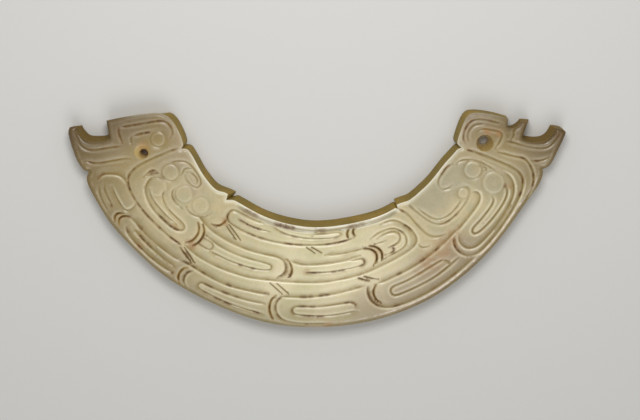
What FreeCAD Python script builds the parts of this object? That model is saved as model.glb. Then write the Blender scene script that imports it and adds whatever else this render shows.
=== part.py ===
import FreeCAD, Part
import math
import os

# An arc-shaped jade pendant with a beast's head at each end, cut from one stone.
# It lies on its back with the carved face up: +X runs from head to head,
# +Y points from the belly of the arc to the heads, +Z out of the carved face.
# Lengths are in millimetres and angles in degrees.

# The arc and the stone
inner_radius = 35.2
band_width = 22.8
stone_thickness = 6.0

# Edges: the concave side and the mouths are cut at a slant, so the back stands out there
concave_lean = 0.75
mouth_lean = 0.75
nub_lean = 1.1
rim_depth = 0.5
concave_rim = 0.4
convex_rim = 0.8
head_rim = 0.5
back_rim = 0.35

# The two suspension bores, each opened from the front with a wide mouth
left_throat_radius = 0.9
left_throat_length = 2.0
left_mouth_radius = 1.8
right_throat_radius = 1.0
right_throat_length = 1.5
right_mouth_radius = 2.05

# Carving: bevelled grooves of two widths, and the rings round the raised discs
broad_groove_width = 1.5
broad_groove_depth = 0.42
narrow_groove_width = 1.05
narrow_groove_depth = 0.32
ring_groove_width = 0.9
ring_groove_depth = 0.3
groove_fade = 1.5
longest_run = 5.0
overrun = 0.04

# A place on the face is an angle round the arc from its lowest point, left of it negative,
# and a share of the band's width outward from the inner radius.
left_bore_shares = (-69.5, 0.392)
left_mouth_shares = (-70.5, 0.385)
right_bore_shares = (72.6, 0.302)

# The outline of the front, clockwise from the nick behind the left head
left_neck_shares = [
    (-66.4, -0.005), (-65.4, -0.055), (-63.5, -0.074), (-60, -0.076), (-55, -0.065),
    (-50, -0.056), (-45.8, -0.055), (-43.6, -0.07), (-42, -0.093), (-40.2, -0.105),
]
left_nub_shares = [(-40.2, -0.105), (-39.2, -0.045)]
concave_shares = [
    (-39.2, -0.045), (-38.4, -0.062), (-37.2, -0.085), (-35, -0.1), (-25, -0.1), (-15, -0.096),
    (-5, -0.089), (5, -0.087), (15, -0.08), (20, -0.07), (25, -0.056), (30, -0.046), (33.7, -0.042),
]
right_nick_shares = [(33.7, -0.042), (34.5, -0.018)]
right_nub_shares = [(34.5, -0.018), (34.9, -0.062)]
right_neck_shares = [
    (34.9, -0.062), (36.2, -0.055), (38, -0.04), (40, -0.022), (45, -0.013), (50, -0.005),
    (55, 0.0), (60, 0.01), (63, 0.028), (65.8, 0.05), (67.4, 0.067), (68.3, 0.095),
]
right_crest_shares = [
    (68.3, 0.095), (68.9, 0.047), (70, 0.03), (73, 0.024), (76, 0.028), (78.5, 0.04),
    (80.5, 0.065), (81.6, 0.105), (82.1, 0.2), (82.0, 0.35), (81.5, 0.478),
]
right_brow_shares = [(81.5, 0.478), (79.0, 0.487)]
right_ear_shares = [(79.0, 0.487), (78.7, 0.515), (79.2, 0.56), (80.2, 0.6), (81.3, 0.625)]
right_lip_end_shares = [(81.3, 0.625), (81.4, 0.69)]
right_mouth_edge_shares = [
    (81.4, 0.69), (79.5, 0.674), (77.6, 0.664), (76.5, 0.67), (76.2, 0.71), (76.3, 0.78),
    (76.7, 0.85), (77.4, 0.91), (78.8, 0.958), (80.9, 0.99),
]
right_jaw_end_shares = [(80.9, 0.99), (80.9, 1.05), (80.4, 1.1)]
right_jaw_shares = [(80.4, 1.1), (79, 1.09), (76, 1.062), (73, 1.04), (71.6, 1.015), (70.7, 0.97)]
convex_shares = [
    (70.7, 0.97), (69.8, 0.99), (67.5, 0.998), (65, 0.985), (61, 0.96), (55, 0.953), (50, 0.958),
    (45, 0.965), (40, 0.973), (30, 0.993), (15, 1.0), (0, 1.0), (-15, 1.0), (-35, 1.0),
    (-45, 1.011), (-55, 1.035), (-60, 1.042), (-66, 1.047), (-68.4, 1.04), (-69.5, 1.015),
    (-70.1, 0.985),
]
left_jaw_shares = [
    (-70.1, 0.985), (-70.7, 1.02), (-72.3, 1.052), (-75, 1.07), (-78, 1.077), (-80.4, 1.075),
    (-81.4, 1.05),
]
left_jaw_end_shares = [(-81.4, 1.05), (-81.5, 0.985)]
left_mouth_edge_shares = [
    (-81.5, 0.985), (-79.6, 0.967), (-78.2, 0.94), (-77.2, 0.89), (-76.6, 0.8), (-76.3, 0.72),
    (-76.6, 0.668),
]
left_snout_shares = [(-76.6, 0.668), (-81.7, 0.662)]
left_crest_shares = [
    (-81.7, 0.662), (-82.1, 0.42), (-82.1, 0.22), (-81.6, 0.1), (-80, 0.03), (-78.3, -0.005),
    (-76.3, -0.028), (-74, -0.042), (-71, -0.052), (-68.5, -0.047), (-67.2, -0.035), (-66.4, -0.005),
]

# The deep grooves that bound the ribbons of the scrollwork, each from end to end
broad_groove_shares = {
    "upper_ribbon": [
        (-43.5, 0.262), (-40, 0.285), (-36, 0.3), (-30, 0.3), (-20, 0.285), (-15, 0.273),
        (-12.8, 0.275), (-11, 0.295), (-9.9, 0.335), (-9.5, 0.38), (-9.8, 0.43), (-10.8, 0.475),
    ],
    "long_ribbon": [
        (-40.2, 0.6), (-32, 0.608), (-22, 0.578), (-12, 0.527), (0, 0.503), (10, 0.479),
        (20, 0.445), (30, 0.415), (32.6, 0.395), (33.8, 0.36), (34.2, 0.3), (33.9, 0.22),
        (33.1, 0.16), (31.8, 0.095), (30.2, 0.055), (28, 0.037), (25, 0.032),
    ],
    "top_scroll": [
        (-21, -0.028), (-30, -0.024), (-33.3, -0.018), (-34.9, 0.005), (-35.2, 0.05),
        (-34.7, 0.095), (-33.2, 0.122), (-30, 0.13), (-20, 0.127), (-10, 0.112), (0, 0.098),
        (8, 0.088), (14, 0.07),
    ],
    "middle_ribbon": [(-9, 0.283), (-7, 0.3), (-4, 0.312), (0, 0.308), (10, 0.287), (15, 0.27)],
    "neck_fold": [
        (34.9, 0.01), (35.6, 0.04), (36.3, 0.09), (36.6, 0.18), (36.9, 0.28), (37.4, 0.37),
        (38.3, 0.43), (39.8, 0.475), (41.8, 0.5),
    ],
    "right_tongue": [
        (37.1, 0.726), (36.5, 0.705), (35.2, 0.694), (28, 0.697), (24, 0.702), (21.4, 0.705),
        (20.6, 0.719), (20.25, 0.755), (20.6, 0.791), (21.4, 0.805), (24, 0.808), (32, 0.808),
        (40.5, 0.785),
    ],
    "right_tongue_root": [(36.7, 0.708), (37.3, 0.74), (37.5, 0.77), (37.3, 0.803)],
    "right_loop": [
        (14.8, 0.62), (14.4, 0.66), (14.3, 0.72), (14.7, 0.78), (15.8, 0.84), (17.4, 0.885),
        (19.5, 0.91), (23, 0.918), (31, 0.914), (43.6, 0.888),
    ],
    "belly_ribbon": [(-9.8, 0.69), (-3, 0.668), (5, 0.635), (13.8, 0.6)],
    "belly_loop": [
        (-9.3, 0.69), (-10.2, 0.73), (-10.6, 0.79), (-10.3, 0.85), (-9.3, 0.91), (-7.6, 0.95),
        (-5, 0.962), (3, 0.96),
    ],
    "lower_ribbon": [(-35.5, 0.742), (-28, 0.738), (-24, 0.733), (-16, 0.7), (-13, 0.69)],
    "lower_loop": [(-34.2, 0.78), (-35, 0.82), (-35.1, 0.88), (-34.5, 0.935)],
    "left_collar": [
        (-41.6, 0.325), (-40.2, 0.365), (-39.4, 0.415), (-39.2, 0.47), (-39.5, 0.525), (-40.4, 0.575),
    ],
    "left_face_scroll": [
        (-61.9, 0.37), (-61.7, 0.42), (-61, 0.475), (-59.9, 0.52), (-58, 0.552), (-53, 0.577),
        (-47, 0.558), (-45, 0.54), (-43.7, 0.505), (-43.6, 0.47), (-44.6, 0.45), (-51.5, 0.452),
    ],
    "left_head_line": [
        (-66.9, 0.06), (-67.3, 0.2), (-67, 0.44), (-66.4, 0.54), (-65.2, 0.617), (-63.2, 0.66),
        (-60, 0.678), (-53, 0.67), (-46, 0.648), (-41.4, 0.628),
    ],
    "left_cheek": [(-67.9, 0.915), (-68.4, 0.86), (-67.9, 0.78), (-66.6, 0.7), (-65.6, 0.675)],
    "left_jaw_ribbon": [(-55.6, 0.822), (-51, 0.81), (-44, 0.79), (-38.2, 0.765)],
    "right_face_scroll": [
        (43.2, 0.585), (41.9, 0.64), (41.4, 0.7), (41.7, 0.78), (42.9, 0.85), (44.8, 0.885),
        (48, 0.892), (57, 0.878), (64, 0.855), (66, 0.828), (67.5, 0.775), (68.3, 0.69),
        (68.6, 0.58), (68.7, 0.3), (68.5, 0.16),
    ],
}
narrow_groove_shares = {
    "upper_tongue": [
        (-33.4, 0.5), (-27, 0.488), (-19.5, 0.468), (-16.2, 0.45), (-15, 0.439), (-14.3, 0.427),
        (-14, 0.404), (-14.3, 0.381), (-15, 0.372), (-17, 0.37), (-25, 0.388), (-33, 0.392),
        (-37, 0.378),
    ],
    "middle_tongue": [
        (-3, 0.4), (5, 0.398), (13, 0.386), (14.6, 0.381), (15.4, 0.37), (15.7, 0.345),
        (15.4, 0.32), (14.6, 0.309), (13, 0.306), (10.8, 0.306),
    ],
    "middle_collar": [
        (16.6, 0.208), (18.6, 0.235), (19.8, 0.275), (20.1, 0.315), (19.8, 0.355), (18.8, 0.4),
        (17.2, 0.43),
    ],
    "hook": [
        (20, 0.135), (23, 0.11), (26, 0.107), (28.2, 0.12), (29.8, 0.15), (30.9, 0.2), (31.4, 0.25),
        (31.1, 0.3), (30.2, 0.345), (28.3, 0.37), (22.2, 0.385),
    ],
    "inner_hook": [
        (22.4, 0.155), (25, 0.143), (27.2, 0.148), (28.7, 0.165), (29.7, 0.2), (29.7, 0.245),
        (28.8, 0.28), (27, 0.295), (24.8, 0.29),
    ],
    "neck_curl": [
        (38.9, 0.02), (39.3, 0.1), (40.4, 0.25), (41.3, 0.325), (42.7, 0.385), (44.6, 0.415),
        (48, 0.43), (51.5, 0.43), (54.3, 0.418), (56.3, 0.393), (57.1, 0.355),
    ],
    "right_tail": [(17.5, 0.617), (24, 0.6), (32, 0.585), (46, 0.545)],
    "belly_tongue": [
        (10.3, 0.82), (10.4, 0.79), (9.6, 0.759), (8, 0.75), (1, 0.768), (-3, 0.772),
        (-4.6, 0.775), (-5.8, 0.789), (-6.2, 0.822), (-5.8, 0.856), (-4.6, 0.87), (-2, 0.874),
        (3, 0.876), (10.5, 0.857),
    ],
    "lower_tongue": [
        (-13.3, 0.8), (-20, 0.817), (-28, 0.831), (-30.2, 0.836), (-30.9, 0.847), (-31.2, 0.874),
        (-30.9, 0.9), (-30.2, 0.911), (-28, 0.915), (-22, 0.92), (-13, 0.92),
    ],
    "left_brow": [
        (-63.7, 0.2), (-63.1, 0.11), (-61.7, 0.03), (-59.4, -0.012), (-56, -0.024), (-52.8, -0.015),
        (-50.8, 0.015), (-50.6, 0.065), (-52, 0.098), (-57.2, 0.095),
    ],
    "left_nose": [(-55.2, 0.24), (-54.8, 0.295), (-53.4, 0.335), (-51, 0.348), (-48.5, 0.338)],
    "left_cheek_line": [
        (-64.6, 0.828), (-59.5, 0.84), (-57.8, 0.83), (-57.1, 0.79), (-57.2, 0.73),
    ],
    "left_jaw_line": [(-52.8, 0.868), (-47, 0.868), (-38.4, 0.858)],
    "right_snout": [(44.4, 0.56), (50, 0.545), (56, 0.525), (57.3, 0.49), (57.4, 0.45)],
    "right_inner_scroll": [
        (45, 0.6), (43.7, 0.645), (43.3, 0.7), (43.6, 0.76), (44.9, 0.81), (47, 0.828),
        (56, 0.828), (60, 0.815), (62.6, 0.79), (64.5, 0.745), (65.8, 0.68), (66.3, 0.6),
    ],
    "right_face_tongue": [
        (58.9, 0.61), (58.3, 0.645), (57, 0.664), (54, 0.667), (49, 0.662), (47.8, 0.68),
        (47.7, 0.71), (48.8, 0.735), (55, 0.757), (60.5, 0.748), (62.3, 0.72), (63, 0.69),
    ],
    "right_jaw_line": [
        (66, 0.94), (68.6, 0.9), (70, 0.855), (71.3, 0.79), (71.8, 0.73), (71.6, 0.66), (71.2, 0.46),
    ],
    "right_brow": [(51.6, 0.12), (52.5, 0.07), (54.5, 0.045), (57.5, 0.04), (60.2, 0.052)],
    "right_crest_line": [
        (70.4, 0.11), (71.8, 0.075), (74, 0.06), (76.5, 0.068), (78.3, 0.095), (79.6, 0.15),
        (80.1, 0.23), (79.7, 0.43),
    ],
    "right_lip_line": [
        (75.1, 0.51), (75.1, 0.75), (75.5, 0.87), (76.3, 0.955), (77.8, 1.0), (79.9, 1.035),
    ],
    "left_crest_line": [
        (-71.9, 0.055), (-73, 0.02), (-75, 0.012), (-77, 0.03), (-78.4, 0.07), (-79, 0.14),
        (-79.1, 0.25), (-79.3, 0.55),
    ],
    "left_snout_line": [(-79.3, 0.55), (-77.5, 0.557), (-74.6, 0.55)],
    "left_lip_line": [
        (-73.9, 0.57), (-74.6, 0.76), (-74.9, 0.86), (-75.6, 0.93), (-77, 0.975), (-80.9, 1.012),
    ],
}

# Raised discs of the faces: the eyes and the curls beside them, each inside a ring groove
disc_shares = {
    "left_eye": (-60.2, 0.2),
    "left_cheek_disc": (-58.7, 0.405),
    "left_curl": (-51.7, 0.22),
    "left_head_curl": (-72.7, 0.18),
    "right_eye": (62.8, 0.285),
    "right_cheek_disc": (62.4, 0.555),
    "right_curl": (54.9, 0.34),
}
disc_radii = {
    "left_eye": 2.15,
    "left_cheek_disc": 2.2,
    "left_curl": 1.9,
    "left_head_curl": 1.65,
    "right_eye": 2.15,
    "right_cheek_disc": 2.5,
    "right_curl": 1.1,
}

# Each side of the outline: its points, how far its back leans out towards the arc's centre
# and in every direction, and the width of its front rim bevel
outline_sides = [
    (left_neck_shares, concave_lean, 0, concave_rim),
    (left_nub_shares, concave_lean, 0, concave_rim),
    (concave_shares, concave_lean, 0, concave_rim),
    (right_nick_shares, concave_lean, 0, concave_rim),
    (right_nub_shares, nub_lean, 0, concave_rim),
    (right_neck_shares, concave_lean, 0, concave_rim),
    (right_crest_shares, concave_lean, 0, head_rim),
    (right_brow_shares, 0, 0, head_rim),
    (right_ear_shares, 0, 0, head_rim),
    (right_lip_end_shares, 0, 0, head_rim),
    (right_mouth_edge_shares, 0, mouth_lean, head_rim),
    (right_jaw_end_shares, 0, 0, head_rim),
    (right_jaw_shares, 0, 0, head_rim),
    (convex_shares, 0, 0, convex_rim),
    (left_jaw_shares, 0, 0, head_rim),
    (left_jaw_end_shares, 0, 0, head_rim),
    (left_mouth_edge_shares, 0, mouth_lean, head_rim),
    (left_snout_shares, 0, 0, head_rim),
    (left_crest_shares, concave_lean, 0, head_rim),
]

# Plain numbers: how sharp a turn of the outline counts as a corner, how shallow a groove starts
# and ends, how much of a tight bend its half width may fill, and how its sections are spaced
corner_share = 0.35
groove_end_share = 0.2
inner_bend_share = 0.75
section_turn = math.radians(22)
short_end_share = 0.35
fine_steps = 240
bend_steps = 12
full_turn = 360


def place(angle, share, height=0):
    """The point at an angle round the arc and a share of the band outward."""
    radius = inner_radius + share * band_width
    turn = math.radians(angle)
    return FreeCAD.Vector(radius * math.sin(turn), -radius * math.cos(turn), height)


def outward(start, end):
    """The direction square to a run of the clockwise outline, away from the stone."""
    run = end - start
    return FreeCAD.Vector(-run.y, run.x, 0).normalize()


def moved_corner(point, first, second, first_out, second_out):
    """Where two sides meet after each has moved along its own direction."""
    turn = first.x * second.y - first.y * second.x
    if abs(turn) < corner_share:
        mean = FreeCAD.Vector(first + second).normalize()
        return point + mean * ((first_out + second_out) / 2)
    across = (first_out * second.y - second_out * first.y) / turn
    along = (second_out * first.x - first_out * second.x) / turn
    return point + FreeCAD.Vector(across, along, 0)


def outline_runs():
    """The straight runs between outline points: start, end, leans and rim of each."""
    runs = []
    for shares, lean_in, lean_round, rim in outline_sides:
        points = [place(angle, share) for angle, share in shares]
        for start, end in zip(points, points[1:]):
            runs.append((start, end, lean_in, lean_round, rim))
    return runs


def run_out(run, lean_share, front_share, back_share):
    """How far a run moves out at one level of the stone."""
    start, end, lean_in, lean_round, rim = run
    middle = (start + end) / 2
    to_centre = FreeCAD.Vector(-middle.x, -middle.y, 0).normalize()
    facing = max(0, outward(start, end).dot(to_centre))
    lean = lean_in * facing + lean_round
    return lean * lean_share - rim * front_share - back_rim * back_share


def section(height, lean_share, front_share, back_share):
    """The closed outline of the stone at one height."""
    runs = outline_runs()
    corners = []
    for index, run in enumerate(runs):
        before = runs[index - 1]
        corner = moved_corner(
            run[0],
            outward(before[0], before[1]),
            outward(run[0], run[1]),
            run_out(before, lean_share, front_share, back_share),
            run_out(run, lean_share, front_share, back_share),
        )
        corners.append(corner + FreeCAD.Vector(0, 0, height))
    corners.append(corners[0])
    edges = []
    first = 0
    for side in outline_sides:
        last = first + len(side[0]) - 1
        edges.append(curve_through(corners[first:last + 1]).toShape())
        first = last
    return Part.Wire(edges)


def curve_through(points):
    """A straight line through two points, or a smooth curve through more."""
    if len(points) == 2:
        return Part.LineSegment(points[0], points[1])
    curve = Part.BSplineCurve()
    curve.interpolate(points)
    return curve


def make_stone():
    """The uncarved plaque: back rim, leaning wall and front rim bevel."""
    front_edge = stone_thickness - rim_depth
    sections = [
        section(0, 1, 0, 1),
        section(back_rim, 1 - back_rim / front_edge, 0, 0),
        section(front_edge, 0, 0, 0),
        section(stone_thickness, 0, 1, 0),
    ]
    return Part.makeLoft(sections, True, True)


def groove_curve(shares):
    """A smooth curve through the places of a groove, calm between near and far points."""
    points = [place(angle, share) for angle, share in shares]
    parameters = [0.0]
    for start, end in zip(points, points[1:]):
        parameters.append(parameters[-1] + math.sqrt((end - start).Length))
    curve = Part.BSplineCurve()
    curve.interpolate(Points=points, Parameters=parameters)
    return curve


def groove_stops(curve):
    """Where along the curve a section stands: at each end, and after each turn or long run."""
    first = curve.FirstParameter
    last = curve.LastParameter
    stops = [first]
    heading = curve.tangent(first)[0]
    begin = curve.value(first)
    for step in range(1, fine_steps):
        at = first + (last - first) * step / fine_steps
        along = curve.tangent(at)[0]
        turned = heading.getAngle(along)
        if turned > section_turn or (curve.value(at) - begin).Length > longest_run:
            stops.append(at)
            heading = along
            begin = curve.value(at)
    if len(stops) > 1 and last - stops[-1] < short_end_share * (last - stops[-2]):
        stops[-1] = (stops[-2] + last) / 2
    return stops + [last]


def tightest_bend(curve, start, end):
    """The largest curvature along a stretch of the curve."""
    stations = [start + (end - start) * step / bend_steps for step in range(bend_steps + 1)]
    return max(curve.curvature(at) for at in stations)


def groove_section(curve, at, stretch, width, depth):
    """The V of a groove square to its curve, narrower on a tight turn and shallow at an end."""
    length = curve.length()
    done = curve.length(curve.FirstParameter, at) if at > curve.FirstParameter else 0
    from_end = min(done, length - done)
    fade_share = min(1, from_end / groove_fade)
    local_depth = depth * (groove_end_share + (1 - groove_end_share) * fade_share)
    half_width = width / 2 / depth * (local_depth + overrun)
    bend = tightest_bend(curve, stretch[0], stretch[1])
    if bend > 0:
        half_width = min(half_width, inner_bend_share / bend)
    along = curve.tangent(at)[0]
    side = FreeCAD.Vector(-along.y, along.x, 0)
    centre = curve.value(at)
    top = FreeCAD.Vector(0, 0, stone_thickness + overrun)
    bottom = FreeCAD.Vector(0, 0, stone_thickness - local_depth)
    corners = [centre + side * half_width + top, centre + bottom, centre - side * half_width + top]
    return Part.makePolygon(corners + corners[:1])


def groove(shares, width, depth):
    """A V-shaped cutter along a curve."""
    curve = groove_curve(shares)
    stops = groove_stops(curve)
    before = stops[:1] + stops[:-1]
    after = stops[1:] + stops[-1:]
    sections = []
    for at, stretch in zip(stops, zip(before, after)):
        sections.append(groove_section(curve, at, stretch, width, depth))
    return Part.makeLoft(sections, True, True)


def ring_groove(shares, radius):
    """A V-shaped ring cutter round a raised disc."""
    centre = place(shares[0], shares[1])
    slope = ring_groove_width / 2 / ring_groove_depth
    half_width = slope * (ring_groove_depth + overrun)
    top = stone_thickness + overrun
    bottom = stone_thickness - ring_groove_depth
    ring_radius = radius + ring_groove_width / 2
    corners = [
        FreeCAD.Vector(ring_radius - half_width, 0, top),
        FreeCAD.Vector(ring_radius, 0, bottom),
        FreeCAD.Vector(ring_radius + half_width, 0, top),
    ]
    profile = Part.Face(Part.makePolygon(corners + corners[:1]))
    ring = profile.revolve(FreeCAD.Vector(), FreeCAD.Vector(0, 0, 1), full_turn)
    ring.translate(centre)
    return ring


def bore(bore_shares, mouth_shares, throat_radius, throat_length, mouth_radius):
    """A suspension bore: a plain throat from the back and a mouth that opens to the front."""
    throat_centre = place(bore_shares[0], bore_shares[1])
    mouth_centre = place(mouth_shares[0], mouth_shares[1])
    below = FreeCAD.Vector(0, 0, -overrun)
    up = FreeCAD.Vector(0, 0, 1)
    throat = Part.makeCylinder(throat_radius, throat_length + 2 * overrun, throat_centre + below, up)
    rise = stone_thickness - throat_length
    beyond = (rise + overrun) / rise
    reach = mouth_centre - throat_centre
    top_centre = throat_centre + reach * beyond + up * (stone_thickness + overrun)
    top_radius = throat_radius + (mouth_radius - throat_radius) * beyond
    low = Part.Wire(Part.makeCircle(throat_radius, throat_centre + up * throat_length, up))
    high = Part.Wire(Part.makeCircle(top_radius, top_centre, up))
    return throat.fuse(Part.makeLoft([low, high], True, True))


def make_cutters():
    """Every groove, ring and bore that is taken out of the stone."""
    cutters = []
    for shares in broad_groove_shares.values():
        cutters.append(groove(shares, broad_groove_width, broad_groove_depth))
    for shares in narrow_groove_shares.values():
        cutters.append(groove(shares, narrow_groove_width, narrow_groove_depth))
    for name, shares in disc_shares.items():
        cutters.append(ring_groove(shares, disc_radii[name]))
    cutters.append(bore(
        left_bore_shares, left_mouth_shares, left_throat_radius, left_throat_length, left_mouth_radius
    ))
    cutters.append(bore(
        right_bore_shares, right_bore_shares, right_throat_radius, right_throat_length,
        right_mouth_radius
    ))
    return cutters


def seated(shape):
    """The plaque with its back on the ground and the centre of its box at the origin."""
    box = shape.optimalBoundingBox()
    middle_x = (box.XMin + box.XMax) / 2
    middle_y = (box.YMin + box.YMax) / 2
    shape.translate(FreeCAD.Vector(-middle_x, -middle_y, -box.ZMin))
    return shape


def main():
    """Carves the plaque and writes it as one part."""
    os.makedirs("parts", exist_ok=True)
    plaque = make_stone()
    print("stone", plaque.isValid(), round(plaque.Volume, 1))
    for cutter in make_cutters():
        plaque = plaque.cut(cutter).Solids[0]
    plaque = seated(plaque)
    box = plaque.optimalBoundingBox()
    print("carved", plaque.isValid(), round(plaque.Volume, 1), len(plaque.Faces), "faces")
    print("size", round(box.XLength, 2), round(box.YLength, 2), round(box.ZLength, 2))
    plaque.exportStep("parts/carved_arc_plaque.step")


main()
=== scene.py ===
# %% [markdown]
# An arc-shaped jade pendant with a beast's head at each end, cut from one flat stone.
# The shape, the carving and the two suspension bores are one mesh; its finish is one material.
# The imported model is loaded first. It is a fixed frame in metres, and the looks are built round it.

# %% Load the frame
import math

import bpy
import numpy as np
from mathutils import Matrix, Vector, kdtree, noise
from mathutils.geometry import delaunay_2d_cdt


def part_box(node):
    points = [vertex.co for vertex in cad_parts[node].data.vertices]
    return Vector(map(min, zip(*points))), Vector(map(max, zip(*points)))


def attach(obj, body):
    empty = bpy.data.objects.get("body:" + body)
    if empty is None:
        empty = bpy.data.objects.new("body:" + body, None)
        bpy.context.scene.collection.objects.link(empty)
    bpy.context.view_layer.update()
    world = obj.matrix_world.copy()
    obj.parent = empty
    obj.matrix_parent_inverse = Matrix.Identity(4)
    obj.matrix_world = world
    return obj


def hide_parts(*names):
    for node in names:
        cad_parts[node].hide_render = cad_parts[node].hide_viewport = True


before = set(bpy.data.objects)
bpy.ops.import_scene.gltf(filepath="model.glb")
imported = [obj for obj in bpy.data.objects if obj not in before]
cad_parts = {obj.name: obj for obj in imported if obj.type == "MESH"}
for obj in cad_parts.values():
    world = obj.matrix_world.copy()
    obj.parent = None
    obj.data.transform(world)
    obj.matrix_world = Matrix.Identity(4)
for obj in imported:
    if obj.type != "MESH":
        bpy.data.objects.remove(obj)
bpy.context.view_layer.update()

stone_low, stone_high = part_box("carved_arc_plaque")
bpy.ops.object.select_all(action="DESELECT")
print("The stone is", [round(length * 1000, 1) for length in stone_high - stone_low], "mm")

# %% [markdown]
# A carver lays such a pendant out from the centre of its arc. So does this script: each place on
# the face is an angle round the arc, from its lowest point and negative on the left, and a share
# of the band's width outward from the inner edge. The layout is drawn in millimetres and comes
# down to metres when the mesh is made.

# %% Places round the arc
to_metres = 0.001
inner_radius = 35.2
band_width = 22.8
thickness = (stone_high.z - stone_low.z) / to_metres


def place(angle, share):
    """The point at an angle round the arc and a share of the band outward, in millimetres."""
    radius = inner_radius + share * band_width
    turn = math.radians(angle)
    return np.array([radius * math.sin(turn), -radius * math.cos(turn)])


print("Lowest point of the arc's inner edge:", place(0, 0).round(1))

# %% [markdown]
# The outline of the front runs clockwise from the nick behind the left head. Each side is a smooth
# curve between two corners. The concave side and both mouths are sawn at a slant, so the back
# stands out there: a side says how far it leans towards the arc's centre, how far it leans in
# every direction, and how wide the bevel of its front edge is.

# %% The outline's sides
concave_lean = 0.75
mouth_lean = 0.75
nub_lean = 1.1
concave_rim = 0.4
convex_rim = 0.8
head_rim = 0.5
outline_sides = {
    "left_neck": (concave_lean, 0, concave_rim, [
        (-66.4, -0.005), (-65.4, -0.055), (-63.5, -0.074), (-60, -0.076), (-55, -0.065),
        (-50, -0.056), (-45.8, -0.055), (-43.6, -0.07), (-42, -0.093), (-40.2, -0.105),
    ]),
    "left_nub": (concave_lean, 0, concave_rim, [(-40.2, -0.105), (-39.2, -0.045)]),
    "concave_edge": (concave_lean, 0, concave_rim, [
        (-39.2, -0.045), (-38.4, -0.062), (-37.2, -0.085), (-35, -0.1), (-25, -0.1), (-15, -0.096),
        (-5, -0.089), (5, -0.087), (15, -0.08), (20, -0.07), (25, -0.056), (30, -0.046),
        (33.7, -0.042),
    ]),
    "right_nick": (concave_lean, 0, concave_rim, [(33.7, -0.042), (34.5, -0.018)]),
    "right_nub": (nub_lean, 0, concave_rim, [(34.5, -0.018), (34.9, -0.062)]),
    "right_neck": (concave_lean, 0, concave_rim, [
        (34.9, -0.062), (36.2, -0.055), (38, -0.04), (40, -0.022), (45, -0.013), (50, -0.005),
        (55, 0.0), (60, 0.01), (63, 0.028), (65.8, 0.05), (67.4, 0.067), (68.3, 0.095),
    ]),
    "right_crest": (concave_lean, 0, head_rim, [
        (68.3, 0.095), (68.9, 0.047), (70, 0.03), (73, 0.024), (76, 0.028), (78.5, 0.04),
        (80.5, 0.065), (81.6, 0.105), (82.1, 0.2), (82.0, 0.35), (81.5, 0.478),
    ]),
    "right_brow": (0, 0, head_rim, [(81.5, 0.478), (79.0, 0.487)]),
    "right_ear": (0, 0, head_rim, [
        (79.0, 0.487), (78.7, 0.515), (79.2, 0.56), (80.2, 0.6), (81.3, 0.625),
    ]),
    "right_lip_end": (0, 0, head_rim, [(81.3, 0.625), (81.4, 0.69)]),
    "right_mouth": (0, mouth_lean, head_rim, [
        (81.4, 0.69), (79.5, 0.674), (77.6, 0.664), (76.5, 0.67), (76.2, 0.71), (76.3, 0.78),
        (76.7, 0.85), (77.4, 0.91), (78.8, 0.958), (80.9, 0.99),
    ]),
    "right_jaw_end": (0, 0, head_rim, [(80.9, 0.99), (80.9, 1.05), (80.4, 1.1)]),
    "right_jaw": (0, 0, head_rim, [
        (80.4, 1.1), (79, 1.09), (76, 1.062), (73, 1.04), (71.6, 1.015), (70.7, 0.97),
    ]),
    "convex_edge": (0, 0, convex_rim, [
        (70.7, 0.97), (69.8, 0.99), (67.5, 0.998), (65, 0.985), (61, 0.96), (55, 0.953),
        (50, 0.958), (45, 0.965), (40, 0.973), (30, 0.993), (15, 1.0), (0, 1.0), (-15, 1.0),
        (-35, 1.0), (-45, 1.011), (-55, 1.035), (-60, 1.042), (-66, 1.047), (-68.4, 1.04),
        (-69.5, 1.015), (-70.1, 0.985),
    ]),
    "left_jaw": (0, 0, head_rim, [
        (-70.1, 0.985), (-70.7, 1.02), (-72.3, 1.052), (-75, 1.07), (-78, 1.077), (-80.4, 1.075),
        (-81.4, 1.05),
    ]),
    "left_jaw_end": (0, 0, head_rim, [(-81.4, 1.05), (-81.5, 0.985)]),
    "left_mouth": (0, mouth_lean, head_rim, [
        (-81.5, 0.985), (-79.6, 0.967), (-78.2, 0.94), (-77.2, 0.89), (-76.6, 0.8), (-76.3, 0.72),
        (-76.6, 0.668),
    ]),
    "left_snout": (0, 0, head_rim, [(-76.6, 0.668), (-81.7, 0.662)]),
    "left_crest": (concave_lean, 0, head_rim, [
        (-81.7, 0.662), (-82.1, 0.42), (-82.1, 0.22), (-81.6, 0.1), (-80, 0.03), (-78.3, -0.005),
        (-76.3, -0.028), (-74, -0.042), (-71, -0.052), (-68.5, -0.047), (-67.2, -0.035),
        (-66.4, -0.005),
    ]),
}
print(len(outline_sides), "sides")

# %% [markdown]
# A curve through listed points has to be calm between them. A cubic spline is the bent lath
# of a draughtsman: it passes each point with no kink. Its pace between two points is the square
# root of their distance, which keeps it from swinging out where near and far points meet.

# %% Smooth curves through points
dense_steps = 24
outline_spacing = 0.24


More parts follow.
